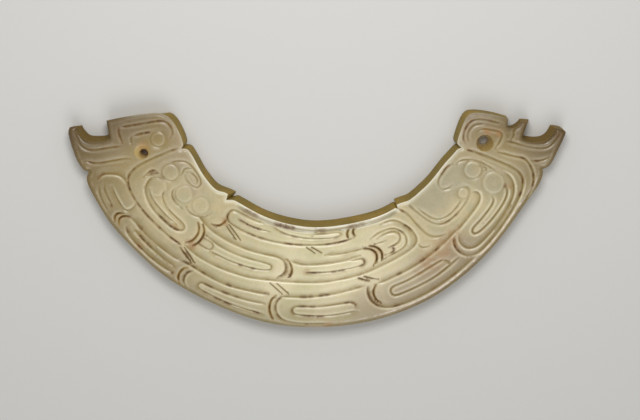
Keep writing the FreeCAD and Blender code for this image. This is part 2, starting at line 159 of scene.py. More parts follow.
def spline(points, at):
    """The cubic curve through points, at knots given as numbers from 0 to 1."""
    points = np.asarray(points, float)
    pace = np.sqrt(np.hypot(*np.diff(points, axis=0).T))
    knots = np.concatenate([[0], np.cumsum(pace)]) / pace.sum()
    gaps = np.diff(knots)
    count = len(points)
    system = np.eye(count)
    bends = np.zeros((count, 2))
    for i in range(1, count - 1):
        system[i, i - 1:i + 2] = gaps[i - 1], 2 * (gaps[i - 1] + gaps[i]), gaps[i]
        steps = np.diff(points[i - 1:i + 2], axis=0) / gaps[i - 1:i + 1, None]
        bends[i] = 6 * (steps[1] - steps[0])
    bends = np.linalg.solve(system, bends)
    k = np.clip(np.searchsorted(knots, at, side="right") - 1, 0, count - 2)
    h = gaps[k, None]
    after = (at - knots[k])[:, None]
    before = h - after
    cubic = (bends[k] * before ** 3 + bends[k + 1] * after ** 3) / (6 * h)
    straight = (points[k] / h - bends[k] * h / 6) * before
    return cubic + straight + (points[k + 1] / h - bends[k + 1] * h / 6) * after


def even_knots(points, spacing):
    """Knots that divide the curve through points into even steps of about this spacing."""
    dense = np.linspace(0, 1, dense_steps * len(points))
    walked = np.concatenate([[0], np.cumsum(np.hypot(*np.diff(spline(points, dense), axis=0).T))])
    steps = max(1, round(walked[-1] / spacing))
    return np.interp(np.linspace(0, walked[-1], steps + 1), walked, dense)


def smooth_line(shares, spacing):
    """Evenly spaced points on the smooth curve through places of the arc."""
    points = [place(angle, share) for angle, share in shares]
    return spline(points, even_knots(points, spacing))


ear_line = smooth_line(outline_sides["right_ear"][3], outline_spacing)
print("The ear's side has", len(ear_line), "points")

# %% [markdown]
# The stone's wall is a stack of outlines, one for each level from the front edge to the back.
# All have the same number of points, so the wall is a plain ladder between them. A corner moves
# to where its two sides meet again, and the points between follow the curve of their side.

# %% The outline at one level
parallel_turn = 0.35


def side_places():
    """The corners and curve points of each side, in order."""
    return [[place(*share) for share in side[3]] for side in outline_sides.values()]


def side_knots():
    """The even knots of each side, the same at every level."""
    return [even_knots(points, outline_spacing) for points in side_places()]


def move_out(lean_in, lean_round, start, end, lean_share, inset):
    """The outward direction of a straight run, and how far the run moves along it."""
    run = (end - start) / np.hypot(*(end - start))
    outward = np.array([-run[1], run[0]])
    middle = (start + end) / 2
    facing = max(0, -outward @ middle / np.hypot(*middle))
    return outward, (lean_in * facing + lean_round) * lean_share - inset


def outline_at(lean_share, inset):
    """The closed outline where the wall has leaned by a share of its lean and then stepped in."""
    runs = []
    for (lean_in, lean_round, _, _), points in zip(outline_sides.values(), side_places()):
        for start, end in zip(points, points[1:]):
            outward, distance = move_out(lean_in, lean_round, start, end, lean_share, inset)
            runs.append((start, outward, distance))
    corners = []
    for i, (start, second, second_out) in enumerate(runs):
        _, first, first_out = runs[i - 1]
        turn = first[0] * second[1] - first[1] * second[0]
        if abs(turn) < parallel_turn:
            mean = (first + second) / np.hypot(*(first + second))
            corners.append(start + mean * (first_out + second_out) / 2)
        else:
            across = (first_out * second[1] - second_out * first[1]) / turn
            along = (second_out * first[0] - first_out * second[0]) / turn
            corners.append(start + np.array([across, along]))
    corners.append(corners[0])
    ring = []
    first = 0
    for points, knots in zip(side_places(), side_knots()):
        last = first + len(points) - 1
        ring.append(spline(corners[first:last + 1], knots[:-1]))
        first = last
    return np.concatenate(ring)


front_outline = outline_at(0, 0)
back_outline = outline_at(1, 0)
both = np.concatenate([front_outline, back_outline])
print(len(front_outline), "points round the outline")

# %% [markdown]
# The frame puts the origin under the middle of the stone's box. The layout above starts from the
# arc's centre, so the centre is found by laying the box of the outlines on the box of the frame.

# %% Seat the layout in the frame
stone_middle = np.array((stone_low + stone_high) / 2)[:2] / to_metres
arc_centre = stone_middle - (both.min(0) + both.max(0)) / 2
print("Centre of the arc:", arc_centre.round(2), "mm; size", (both.max(0) - both.min(0)).round(2))

# %% [markdown]
# The carving is drawn as lines, grouped by the cut that made them. A ribbon or a scroll lies raised
# on the right of its line, and a tongue on the left; the ground slopes down to the line from the
# other side. Collars are the double arcs that hold the ribbons together. Twins, grooves and creases
# are cut evenly from both sides, and fine lines are the pairs of slanting cuts between ribbons.

# %% The carved lines
ribbons = {
    "upper_ribbon": [
        (-43.5, 0.262), (-40, 0.285), (-36, 0.3), (-30, 0.3), (-25, 0.295), (-20, 0.285),
        (-15, 0.273), (-12.8, 0.275), (-11, 0.295), (-9.9, 0.335), (-9.5, 0.38), (-9.8, 0.43),
        (-10.8, 0.475), (-12.5, 0.505),
    ],
    "long_ribbon": [
        (-40.2, 0.6), (-36, 0.612), (-32, 0.608), (-28, 0.598), (-22, 0.578), (-18, 0.56),
        (-12, 0.527), (-8, 0.515), (0, 0.503), (5, 0.492), (10, 0.479), (15, 0.466), (20, 0.445),
        (25, 0.43), (30, 0.415), (32.6, 0.395), (33.8, 0.36), (34.2, 0.3), (33.9, 0.22),
        (33.1, 0.16), (31.8, 0.095), (30.2, 0.055), (28, 0.037), (25, 0.032),
    ],
    "middle_ribbon": [
        (-9, 0.283), (-7, 0.3), (-4, 0.312), (0, 0.308), (5, 0.297), (10, 0.287), (15, 0.27),
    ],
    "middle_top_ribbon": [(3, 0.208), (8, 0.213), (12, 0.214), (16.6, 0.206)],
    "belly_ribbon": [
        (-9.8, 0.69), (-7, 0.677), (-3, 0.668), (1, 0.652), (5, 0.635), (10, 0.613), (13.8, 0.6),
    ],
    "lower_ribbon": [
        (-38, 0.755), (-35.5, 0.742), (-33, 0.738), (-28, 0.738), (-24, 0.733), (-20, 0.715),
        (-16, 0.7), (-13, 0.69),
    ],
    "right_loop": [
        (14.8, 0.62), (14.4, 0.66), (14.3, 0.72), (14.7, 0.78), (15.8, 0.84), (17.4, 0.885),
        (19.5, 0.91), (23, 0.918), (27, 0.918), (31, 0.914), (36, 0.905), (40, 0.897),
        (43.6, 0.888),
    ],
    "right_tail": [
        (17.5, 0.617), (20, 0.61), (24, 0.6), (28, 0.594), (32, 0.585), (37, 0.57), (42, 0.553),
        (46, 0.545),
    ],
    "left_jaw_ribbon": [
        (-55.6, 0.822), (-54, 0.812), (-51, 0.81), (-47, 0.803), (-44, 0.79), (-41, 0.78),
        (-38.2, 0.765),
    ],
    "left_jaw_line": [(-52.8, 0.868), (-50, 0.87), (-47, 0.868), (-42, 0.862), (-38.4, 0.858)],
    "left_jaw_loop": [
        (-54, 0.925), (-52, 0.95), (-48.2, 0.953), (-44, 0.945), (-41, 0.934), (-38, 0.925),
    ],
    "left_cheek": [
        (-67.9, 0.915), (-68.4, 0.86), (-67.9, 0.78), (-66.6, 0.7), (-65, 0.668), (-63, 0.662),
    ],
}
tongues = {
    "middle_tongue": [
        (-3, 0.4), (5, 0.398), (13, 0.386), (14.6, 0.381), (15.4, 0.37), (15.7, 0.345),
        (15.4, 0.32), (14.6, 0.309), (13, 0.306), (10.8, 0.306),
    ],
    "lower_tongue": [
        (-13.3, 0.8), (-20, 0.817), (-28, 0.831), (-30.2, 0.836), (-30.9, 0.847), (-31.2, 0.874),
        (-30.9, 0.9), (-30.2, 0.911), (-28, 0.915), (-22, 0.92), (-13, 0.92),
    ],
    "belly_tongue": [
        (10.3, 0.82), (10.4, 0.79), (9.6, 0.759), (8, 0.75), (1, 0.768), (-3, 0.772), (-4.6, 0.775),
        (-5.8, 0.789), (-6.2, 0.822), (-5.8, 0.856), (-4.6, 0.87), (-2, 0.874), (3, 0.876),
        (10.5, 0.857),
    ],
    "upper_tongue": [
        (-33.4, 0.5), (-27, 0.488), (-19.5, 0.468), (-16.2, 0.45), (-15, 0.439), (-14.3, 0.427),
        (-14, 0.404), (-14.3, 0.381), (-15, 0.372), (-17, 0.37), (-25, 0.388), (-33, 0.392),
        (-37, 0.378),
    ],
    "left_face_tongue": [
        (-59.2, 0.49), (-57.5, 0.515), (-55, 0.522), (-52, 0.52), (-48.5, 0.512), (-46, 0.5),
    ],
    "top_loop": [
        (-18, -0.03), (-13, 0.008), (-9, 0.022), (-5, 0.03), (0, 0.034), (5, 0.034), (8, 0.028),
        (9.8, 0.005), (9, -0.018), (6, -0.024), (1, -0.02), (-1.2, -0.008), (-1.6, 0.012),
    ],
    "belly_loop": [
        (-9.3, 0.69), (-10.2, 0.73), (-10.6, 0.79), (-10.3, 0.85), (-9.3, 0.91), (-7.6, 0.95),
        (-5, 0.962), (-1, 0.962), (3, 0.96),
    ],
    "lower_loop": [(-34.2, 0.78), (-35, 0.82), (-35.1, 0.88), (-34.5, 0.935), (-33, 0.975)],
    "left_cheek_line": [
        (-64.6, 0.828), (-62, 0.838), (-59.5, 0.84), (-57.8, 0.83), (-57.1, 0.79), (-57.2, 0.73),
        (-57.8, 0.69),
    ],
}
collars = {
    "left_collar": [
        (-41.6, 0.325), (-40.2, 0.365), (-39.4, 0.415), (-39.2, 0.47), (-39.5, 0.525),
        (-40.4, 0.575),
    ],
    "left_collar_outer": [
        (-40.1, 0.305), (-38.6, 0.345), (-37.8, 0.39), (-37.5, 0.45), (-37.7, 0.51), (-38.5, 0.565),
    ],
    "upper_collar": [
        (-11.2, 0.262), (-9.2, 0.295), (-8.1, 0.34), (-7.6, 0.39), (-7.7, 0.43), (-8.5, 0.475),
    ],
    "middle_collar": [
        (16.6, 0.208), (18.6, 0.235), (19.8, 0.275), (20.1, 0.315), (19.8, 0.355), (18.8, 0.4),
        (17.2, 0.43),
    ],
    "middle_collar_outer": [
        (18.8, 0.2), (20.6, 0.23), (21.6, 0.27), (21.9, 0.31), (21.6, 0.355), (20.8, 0.4),
    ],
    "right_collar": [
        (17, 0.625), (16.1, 0.665), (15.7, 0.71), (15.8, 0.76), (16.4, 0.81), (17.4, 0.845),
    ],
    "belly_collar": [(-11, 0.685), (-11.9, 0.74), (-12.1, 0.81), (-11.7, 0.88), (-10.7, 0.945)],
    "lower_collar": [(-35.8, 0.775), (-36.5, 0.82), (-36.6, 0.885), (-36, 0.94), (-35.2, 0.972)],
    "left_jaw_collar": [(-55.9, 0.835), (-56.7, 0.88), (-56.7, 0.93), (-55.6, 0.972)],
    "left_jaw_collar_outer": [(-57.2, 0.86), (-58, 0.91), (-57.8, 0.955), (-56.8, 0.99)],
    "top_collar": [
        (-34.6, 0.1), (-34.6, 0.14), (-34.9, 0.18), (-35.8, 0.222), (-37.8, 0.25),
    ],
    "top_bar_left": [(13.6, -0.045), (12.5, -0.01), (12.1, 0.025), (12.3, 0.06)],
    "top_bar_right": [(15.6, -0.035), (14.8, -0.01), (14.5, 0.02), (14.8, 0.05)],
}
scrolls = {
    "left_face_scroll": [
        (-61.9, 0.37), (-61.7, 0.42), (-61, 0.475), (-59.9, 0.52), (-58, 0.552), (-55.5, 0.572),
        (-53, 0.577), (-50, 0.568), (-47, 0.558), (-45, 0.54), (-43.7, 0.505), (-43.6, 0.47),
        (-44.6, 0.45), (-46.5, 0.446), (-49, 0.452), (-51.5, 0.452),
    ],
    "right_face_scroll": [
        (43.2, 0.585), (41.9, 0.64), (41.4, 0.7), (41.7, 0.78), (42.9, 0.85), (44.8, 0.885),
        (48, 0.892), (52, 0.887), (57, 0.878), (61, 0.87), (64, 0.855), (66, 0.828), (67.2, 0.79),
    ],
    "right_inner_scroll": [
        (45, 0.6), (43.7, 0.645), (43.3, 0.7), (43.6, 0.76), (44.9, 0.81), (47, 0.828), (51, 0.832),
        (56, 0.828), (60, 0.815), (62.6, 0.79), (64.5, 0.745), (65.8, 0.68), (66.3, 0.6),
    ],
    "right_snout": [
        (44.4, 0.56), (47, 0.552), (50, 0.545), (53.5, 0.54), (56, 0.525), (57.3, 0.49),
        (57.4, 0.45), (56.9, 0.42),
    ],
}
twins = {
    "right_tongue": [
        (37.1, 0.726), (36.5, 0.705), (35.2, 0.694), (28, 0.697), (24, 0.702), (21.4, 0.705),
        (20.6, 0.719), (20.25, 0.755), (20.6, 0.791), (21.4, 0.805), (24, 0.808), (32, 0.808),
        (40.5, 0.785),
    ],
    "right_face_tongue": [
        (58.9, 0.61), (58.3, 0.645), (57, 0.664), (54, 0.667), (51, 0.664), (49, 0.662),
        (47.8, 0.68), (47.7, 0.71), (48.8, 0.735), (51.5, 0.75), (55, 0.757), (58, 0.757),
        (60.5, 0.748), (62.3, 0.72), (63, 0.69),
    ],
    "hook": [
        (20, 0.135), (23, 0.11), (26, 0.107), (28.2, 0.12), (29.8, 0.15), (30.9, 0.2), (31.4, 0.25),
        (31.1, 0.3), (30.2, 0.345), (28.3, 0.37), (25.5, 0.378), (22.2, 0.385),
    ],
    "inner_hook": [
        (22.4, 0.155), (25, 0.143), (27.2, 0.148), (28.7, 0.165), (29.7, 0.2), (29.7, 0.245),
        (28.8, 0.28), (27, 0.295), (24.8, 0.29),
    ],
}
grooves = {
    "right_face_top": [
        (64, 0.855), (66, 0.828), (67.5, 0.775), (68.3, 0.69), (68.6, 0.58), (68.7, 0.45),
        (68.7, 0.3), (68.5, 0.16),
    ],
    "top_scroll": [
        (-21, -0.028), (-26, -0.026), (-30, -0.024), (-33.3, -0.018), (-34.9, 0.005), (-35.2, 0.05),
        (-34.7, 0.095), (-33.2, 0.122), (-30, 0.13), (-26, 0.132), (-20, 0.127), (-15, 0.12),
        (-10, 0.112), (-5, 0.105), (0, 0.098), (5, 0.094), (8, 0.088), (11, 0.082), (14, 0.07),
    ],
    "neck_fold": [
        (34.6, -0.02), (35.6, 0.03), (36.3, 0.09), (36.6, 0.18), (36.9, 0.28), (37.4, 0.37),
        (38.3, 0.43), (39.8, 0.475), (41.8, 0.5),
    ],
    "left_head_line": [
        (-67, 0.02), (-67.3, 0.1), (-67.3, 0.2), (-67.2, 0.32), (-67, 0.44), (-66.4, 0.54),
        (-65.2, 0.617), (-63.2, 0.66), (-60, 0.678), (-56.5, 0.677), (-53, 0.67), (-49.5, 0.658),
        (-46, 0.648), (-43.5, 0.64), (-41.4, 0.628),
    ],
    "right_tongue_root": [(36.7, 0.708), (37.3, 0.74), (37.5, 0.77), (37.3, 0.803)],
}
creases = {
    "upper_tab": [
        (-37.6, 0.425), (-35.5, 0.415), (-33.8, 0.42), (-33.2, 0.45), (-33.6, 0.485), (-35, 0.498),
        (-37.4, 0.5),
    ],
    "top_tongue": [(-31, 0.042), (-28, 0.048), (-25, 0.048), (-21.5, 0.042), (-18, 0.03)],
    "hook_bar": [(20.6, 0.2), (22.8, 0.21), (25, 0.208)],
    "hook_barb": [(25.9, 0.305), (26, 0.33), (25.6, 0.35), (24, 0.357), (22.6, 0.352)],
    "neck_curl": [
        (38.9, 0.02), (39.3, 0.1), (39.8, 0.17), (40.4, 0.25), (41.3, 0.325), (42.7, 0.385),
        (44.6, 0.415), (48, 0.43), (51.5, 0.43), (54.3, 0.418), (56.3, 0.393), (57.1, 0.355),
        (56.8, 0.31), (55.6, 0.285),
    ],
    "neck_curl_inner": [
        (40.7, 0.11), (41.3, 0.2), (42.1, 0.275), (43.4, 0.335), (45.5, 0.37), (48.5, 0.383),
        (51.5, 0.378), (53.6, 0.362),
    ],
    "neck_step": [(33.6, 0.415), (33.7, 0.45), (34.5, 0.48), (36, 0.492)],
    "left_brow": [
        (-63.7, 0.2), (-63.1, 0.11), (-61.7, 0.03), (-59.4, -0.012), (-56, -0.024), (-52.8, -0.015),
        (-50.8, 0.015), (-50.6, 0.065), (-52, 0.098), (-55, 0.108), (-57.2, 0.095),
    ],
    "left_eye_inner_corner": [(-60.6, 0.295), (-62.2, 0.325), (-62.8, 0.389), (-63.3, 0.471)],
    "left_eye_outer_corner": [(-57.5, -0.008), (-58.9, 0.055), (-58.2, 0.1), (-57.5, 0.16)],
    "left_brow_drop": [
        (-57.6, 0.06), (-56.6, 0.03), (-54.5, 0.012), (-52.6, 0.02), (-52, 0.045), (-52.6, 0.068),
    ],
    "left_pit_line": [(-62.2, 0.325), (-63.4, 0.345), (-63.8, 0.38), (-63.5, 0.43), (-63.2, 0.48)],
    "left_nose_wing": [(-56.2, 0.355), (-55.8, 0.395), (-54.4, 0.43), (-52, 0.452)],
    "left_nose": [(-55.2, 0.24), (-54.8, 0.295), (-53.4, 0.335), (-51, 0.348), (-48.5, 0.338)],
    "left_nose_curl": [
        (-48.2, 0.285), (-46.6, 0.305), (-45, 0.303), (-43.2, 0.283), (-41.5, 0.24), (-40.6, 0.185),
        (-40.4, 0.135),
    ],
    "left_cheek_bar": [(-66, 0.89), (-64.6, 0.908), (-62.5, 0.915), (-60.3, 0.925)],
    "left_cheek_rim": [(-66, 0.95), (-64, 0.975), (-61.5, 0.988), (-59, 0.992)],
    "right_jaw_line": [
        (62.2, 0.945), (64, 0.942), (66, 0.94), (68.6, 0.9), (70, 0.855), (71.3, 0.79),
        (71.8, 0.73), (71.6, 0.66), (71.4, 0.56), (71.2, 0.46),
    ],
    "right_brow": [
        (51.6, 0.12), (52.5, 0.07), (54.5, 0.045), (57.5, 0.04), (60.2, 0.052), (61.6, 0.08),
    ],
    "right_brow_ridge": [
        (62.2, 0.117), (64, 0.144), (65.2, 0.197), (66.2, 0.29), (66.1, 0.415), (65.9, 0.53),
    ],
    "right_eye_corner": [
        (65.1, 0.345), (65.4, 0.385), (65.2, 0.42), (64.3, 0.418), (63.4, 0.392),
    ],
    "right_brow_drop": [(51.6, 0.12), (52.2, 0.155), (53.4, 0.185), (55.2, 0.192)],
    "right_crest_line": [
        (70.4, 0.11), (71.8, 0.075), (74, 0.06), (76.5, 0.068), (78.3, 0.095), (79.6, 0.15),
        (80.1, 0.23), (80, 0.33), (79.7, 0.43),
    ],
    "right_crest_inner": [
        (71.6, 0.13), (73.5, 0.105), (75.5, 0.108), (77.4, 0.14), (78.4, 0.2), (78.7, 0.28),
    ],
    "right_hole_frame": [
        (75.6, 0.19), (76.9, 0.24), (77.2, 0.32), (76.9, 0.44), (75.2, 0.45), (73.5, 0.44),
        (72, 0.425),
    ],
    "right_horn_base": [(75.2, 0.55), (77, 0.567), (78.6, 0.562), (80, 0.595)],
    "right_chin": [(71.9, 0.82), (72.2, 0.88), (73, 0.95), (74.2, 1)],
    "right_lip_line": [
        (75.1, 0.51), (75.1, 0.62), (75.1, 0.75), (75.5, 0.87), (76.3, 0.955), (77.8, 1),
        (79.9, 1.035),
    ],
    "left_crest_line": [
        (-71.9, 0.055), (-73, 0.02), (-75, 0.012), (-77, 0.03), (-78.4, 0.07), (-79, 0.14),
        (-79.1, 0.25), (-79.2, 0.4), (-79.3, 0.55),
    ],
    "left_snout_line": [(-79.3, 0.55), (-77.5, 0.557), (-74.6, 0.55)],
    "left_frame_top": [(-75.7, 0.19), (-75.9, 0.27), (-76, 0.35), (-75.9, 0.44)],
    "left_frame_side": [(-75.9, 0.44), (-75, 0.452), (-73.7, 0.458)],
    "left_lip_line": [
        (-73.9, 0.57), (-74.3, 0.66), (-74.6, 0.76), (-74.9, 0.86), (-75.6, 0.93), (-77, 0.975),
        (-79.2, 0.993), (-80.9, 1.012),
    ],
    "left_mouth_crease": [
        (-69.5, 0.52), (-70.1, 0.57), (-70.6, 0.66), (-71, 0.76), (-71.4, 0.85), (-72, 0.92),
        (-73, 0.985),
    ],
}
fine_lines = {
    "upper_hatch_left": [(-33.3, 0.171), (-30.7, 0.21), (-27.8, 0.251)],
    "upper_hatch_right": [(-33.5, 0.139), (-30.1, 0.18), (-26.7, 0.233)],
    "top_hatch_left": [(-4.2, 0.115), (-2.2, 0.15), (-0.4, 0.185)],
    "top_hatch_right": [(-2.4, 0.112), (-0.2, 0.145), (1.8, 0.18)],
    "right_hatch_left": [(12.6, 0.503), (14, 0.535), (15.6, 0.562)],
    "right_hatch_right": [(14.4, 0.5), (16.2, 0.54), (18.2, 0.575)],
    "belly_hatch_left": [(-13.2, 0.57), (-11.4, 0.61), (-9.5, 0.655)],
    "belly_hatch_right": [(-11.4, 0.557), (-9.1, 0.61), (-6.5, 0.68)],
    "lower_hatch_left": [(-40.4, 0.657), (-37.2, 0.695), (-33.9, 0.746)],
    "lower_hatch_right": [(-39.8, 0.625), (-36.9, 0.666), (-34, 0.713)],
}
print(len(ribbons), "ribbons,", len(tongues), "tongues,", len(collars), "collar arcs")

# %% [markdown]
# Eyes, cheek bosses and curls are round bosses left standing inside a ring. The strip under the
# concave edge is a shallow channel with a flat floor.

# %% Bosses and the channel
bosses = {
    "left_eye": (-60.5, 0.208, 1.85),
    "left_head_curl": (-72.7, 0.18, 1.65),
    "right_eye": (63, 0.297, 1.95),
    "right_curl": (54.9, 0.34, 1.1),
}
soft_bosses = {
    "left_curl": (-51.7, 0.22, 1.9),
    "left_neck_boss": (-44.9, 0.173, 1.85),
    "left_cheek_boss": (-58.4, 0.408, 2.1),
    "right_cheek_boss": (62.4, 0.555, 2.5),
}
edge_channel = [
    (-33.5, -0.07), (-25, -0.072), (-15, -0.066), (-5, -0.06), (5, -0.058), (15, -0.05),
    (21, -0.04), (25, -0.03), (28, -0.023), (31, -0.017), (33, -0.012),
]
print(len(bosses) + len(soft_bosses), "bosses")

# %% [markdown]
# Each cut has its own cross-section. On the side of what stands raised it is steep, on the side of
# the ground it is a wide polished slope, and a thin slit runs where they meet. Round them the
# surface falls away a little, which makes the ribbons gently domed. Left and right are the reaches
# on either side of the line, seen along it.

# %% The cuts
tools = {
    "ribbon": {"left": 1.5, "right": 0.46, "depth": 0.31, "slit": 0.08, "fall": 0.08, "reach": 1.2},
    "tongue": {"left": 0.4, "right": 0.95, "depth": 0.25, "slit": 0.07, "fall": 0.06, "reach": 0.9},
    "collar": {"left": 0.38, "right": 0.38, "depth": 0.24, "slit": 0.09, "fall": 0.05, "reach": 0.8},
    "scroll": {"left": 0.95, "right": 0.42, "depth": 0.27, "slit": 0.08, "fall": 0.07, "reach": 1.0},
    "twin": {"left": 0.42, "right": 0.42, "depth": 0.27, "slit": 0.09, "fall": 0.07, "reach": 0.9},
    "groove": {"left": 0.65, "right": 0.65, "depth": 0.24, "slit": 0.1, "fall": 0.1, "reach": 1.1},
    "crease": {"left": 0.46, "right": 0.46, "depth": 0.16, "slit": 0.08, "fall": 0.07, "reach": 0.9},
    "boss": {"left": 0.28, "right": 0.95, "depth": 0.2, "slit": 0.02, "fall": 0.04, "reach": 0.9},
    "soft_boss": {"left": 0.28, "right": 1.1, "depth": 0.13, "slit": 0.01, "fall": 0.03, "reach": 0.9},
    "fine": {"left": 0.26, "right": 0.26, "depth": 0.05, "slit": 0.14, "fall": 0.0, "reach": 0.5},
    "channel": {"left": 0.3, "right": 0.5, "depth": 0.26, "slit": 0.0, "fall": 0.0, "reach": 0.5},
}
print(len(tools), "kinds of cut")

# %% Every line with its cut
line_spacing = 0.22
fewest_ring_steps = 8
boss_side = tools["boss"]["left"]


def circle_line(centre, radius, spacing):
    """Evenly spaced points round a circle, the first one again at the end."""
    steps = max(fewest_ring_steps, round(2 * math.pi * radius / spacing))
    turns = np.linspace(0, 2 * math.pi, steps + 1)
    return centre + radius * np.stack([np.cos(turns), np.sin(turns)], axis=1)


kinds = {
    "ribbon": ribbons, "tongue": tongues, "collar": collars, "scroll": scrolls, "twin": twins,
    "groove": grooves, "crease": creases, "fine": fine_lines,
}
carved_lines = []
for tool, lines in kinds.items():
    for shares in lines.values():
        carved_lines.append((tool, smooth_line(shares, line_spacing)))
for tool, rings in (("boss", bosses), ("soft_boss", soft_bosses)):
    for angle, share, radius in rings.values():
        ring = circle_line(place(angle, share), radius + boss_side, line_spacing)
        carved_lines.append((tool, ring))
carved_lines.append(("channel", smooth_line(edge_channel, line_spacing)))
total = sum(np.hypot(*np.diff(line, axis=0).T).sum() for _, line in carved_lines)
print(len(carved_lines), "lines,", round(total), "mm of carving")

# %% [markdown]
# Everything the carving does to a point of the face depends on one measure: how far the point lies
# from the nearest stretch of a line, and how far along the line that stretch is. The points are
# taken in blocks, which keeps the tables of distances small.

# %% Distance to a line
block_size = 3000


def nearest_on_line(points, line):
    """Each point's distance to a line of short steps, the length walked along it, and its side."""
    step = np.diff(line, axis=0)
    step_length = np.hypot(*step.T)
    before = np.concatenate([[0], np.cumsum(step_length)[:-1]])
    distances, walked, on_left = [], [], []
    for first in range(0, len(points), block_size):
        block = points[first:first + block_size, None] - line[:-1]
        share = np.clip((block * step).sum(2) / step_length ** 2, 0, 1)
        gap = block - share[..., None] * step
        distance = np.hypot(gap[..., 0], gap[..., 1])
        rows = np.arange(len(distance))
        nearest = distance.argmin(1)
        distances.append(distance[rows, nearest])
        walked.append(before[nearest] + share[rows, nearest] * step_length[nearest])
        ahead, away = step[nearest], gap[rows, nearest]
        on_left.append(ahead[:, 0] * away[:, 1] > ahead[:, 1] * away[:, 0])
    return np.concatenate(distances), np.concatenate(walked), np.concatenate(on_left)


def close_to(points, line, reach):
    """The indices of the points inside the line's box, widened by a reach."""
    low, high = line.min(0) - reach, line.max(0) + reach
    return np.flatnonzero(((points > low) & (points < high)).all(1))


on_a_ribbon = np.array([place(0, 0.58)])
probe = nearest_on_line(on_a_ribbon, smooth_line(ribbons["long_ribbon"], line_spacing))
print("From the middle of a ribbon to its line:", probe[0][0].round(2), "mm")

# %% [markdown]
# What one line does follows from that distance. The tool was lifted at both ends, so a cut is
# shallower and narrower there, and its depth wavers a little, as it does under a hand. A cut also
# marks a band along the top of its raised side, where the finish paints a highlight: a lighter
# colour that stands in for light caught by the raised edge.

# %% What one line does
line_margin = 3.2
slit_reach = 0.18
channel_floor = 0.25
soft_bottom = 0.04
soft_shoulder = 0.045
taper_length = 1.6
taper_parts = 3
blunt_end_share = 0.25
narrow_end_share = 0.45
unevenness = 0.25
uneven_scale = 0.35
uneven_step = 1.7
# Where the painted highlight beside a cut lies, and how strong it is on each kind of side.
ridge_highlight_distance = 0.5
ridge_highlight_width = 0.24
even_ridge_highlight = 0.4
twin_ridge_highlight = 0.9
boss_ridge_highlight = 0.3


def soft_ramp(value, softness):
    """Value where it is positive and nothing where it is negative, with a soft corner."""
    return (value + np.sqrt(value ** 2 + softness ** 2)) / 2


def taper(walked, length, closed):
    """How much of its depth a groove has: less at its two ends, where the tool was lifted."""
    if closed:
        return np.ones_like(walked)
    reach = min(taper_length, length / taper_parts)
    from_end = np.clip(np.minimum(walked, length - walked) / reach, 0, 1)
    return blunt_end_share + (1 - blunt_end_share) * from_end


def raised_side(tool, on_left):
    """How strong a painted highlight each point gets from the side of the cut it lies on."""
    left, right = tools[tool]["left"], tools[tool]["right"]
    if left == right:
        return np.full(len(on_left), twin_ridge_highlight if tool == "twin" else even_ridge_highlight)
    raised = np.where(on_left, left < right, left > right)
    return raised * (boss_ridge_highlight if tool.endswith("boss") else 1)


def cut_of(points, index):
    """What one line does to points near it: indices, distance, bevel, slit, soft fall, painted
    highlight.
    """
    tool, line = carved_lines[index]
    sizes = tools[tool]
    chosen = close_to(points, line, line_margin)
    if len(chosen) == 0:
        return (chosen,) + (np.zeros(0),) * 5
    distance, walked, on_left = nearest_on_line(points[chosen], line)
    length = np.hypot(*np.diff(line, axis=0).T).sum()
    part = taper(walked, length, tool.endswith("boss"))
    part *= 1 + unevenness * np.array([
        noise.noise((along * uneven_scale, index * uneven_step, 0)) for along in walked.round(1)
    ])
    half = np.where(on_left, sizes["left"], sizes["right"])
    half = half * (narrow_end_share + (1 - narrow_end_share) * part)
    if tool == "channel":
        distance = np.maximum(distance - channel_floor, 0)
    rounded = np.sqrt(distance ** 2 + soft_bottom ** 2) - soft_bottom
    bevel = soft_ramp(sizes["depth"] * part * (1 - rounded / half), soft_shoulder)
    slit = sizes["slit"] * part * np.clip(1 - distance / slit_reach, 0, 1)
    fall = sizes["fall"] * part * np.exp(-(distance / sizes["reach"]) ** 2)
    painted_crest_highlight = np.exp(-((distance - ridge_highlight_distance) / ridge_highlight_width) ** 2)
    return chosen, distance, bevel, slit, fall, raised_side(tool, on_left) * part * painted_crest_highlight


long_ribbon = list(ribbons).index("long_ribbon")
own_fall = cut_of(on_a_ribbon, long_ribbon)[4]
print("The long ribbon's line lowers its middle by", own_fall.round(3), "mm")

# %% [markdown]
# Where lines come together the deeper cut wins, while the falls beside them add up smoothly.

# %% What all lines do
fall_blend = 3


def carve(points):
    """What all lines do to each point: cut, fall, the deepest line, its distance, and the painted
    highlight.
    """
    cut, fall, painted_ridge_highlight = np.zeros((3, len(points)))
    deepest = np.full(len(points), -1)
    line_distance = np.full(len(points), np.inf)
    for index in range(len(carved_lines)):
        chosen, distance, bevel, slit, one_fall, one_ridge_highlight = cut_of(points, index)
        deeper = bevel + slit > cut[chosen]
        cut[chosen] = np.maximum(cut[chosen], bevel + slit)
        deepest[chosen[deeper]] = index
        line_distance[chosen[deeper]] = distance[deeper]
        fall[chosen] += one_fall ** fall_blend
        painted_ridge_highlight[chosen] = np.maximum(painted_ridge_highlight[chosen], one_ridge_highlight)
    return cut, fall ** (1 / fall_blend), deepest, line_distance, painted_ridge_highlight


in_a_groove = np.array([place(0, 0.503)])
for what, points in (("groove", in_a_groove), ("ribbon", on_a_ribbon)):
    cut, fall = carve(points)[:2]
    print("Depth in a", what, (cut + fall).round(2), "mm")

# %% [markdown]
# Two suspension bores go through the heads, each a plain throat at the back that opens into a wide
# mouth at the front. The left mouth was drilled from one side, so its centre is off the throat's.

# %% The bores
bores = {
    "left": {
        "throat": place(-69.7, 0.377), "throat_radius": 0.95, "throat_length": 2.0,
        "mouth": place(-70.5, 0.385), "mouth_radius": 1.8,
    },
    "right": {
        "throat": place(72.6, 0.302), "throat_radius": 1.0, "throat_length": 1.5,
        "mouth": place(72.6, 0.302), "mouth_radius": 2.05,
    },
}
mouth_rings = []
for sizes in bores.values():
    ring = circle_line(sizes["mouth"], sizes["mouth_radius"], line_spacing)[:-1]
    mouth_rings.append(ring)
print("Mouth rings of", [len(ring) for ring in mouth_rings], "points")

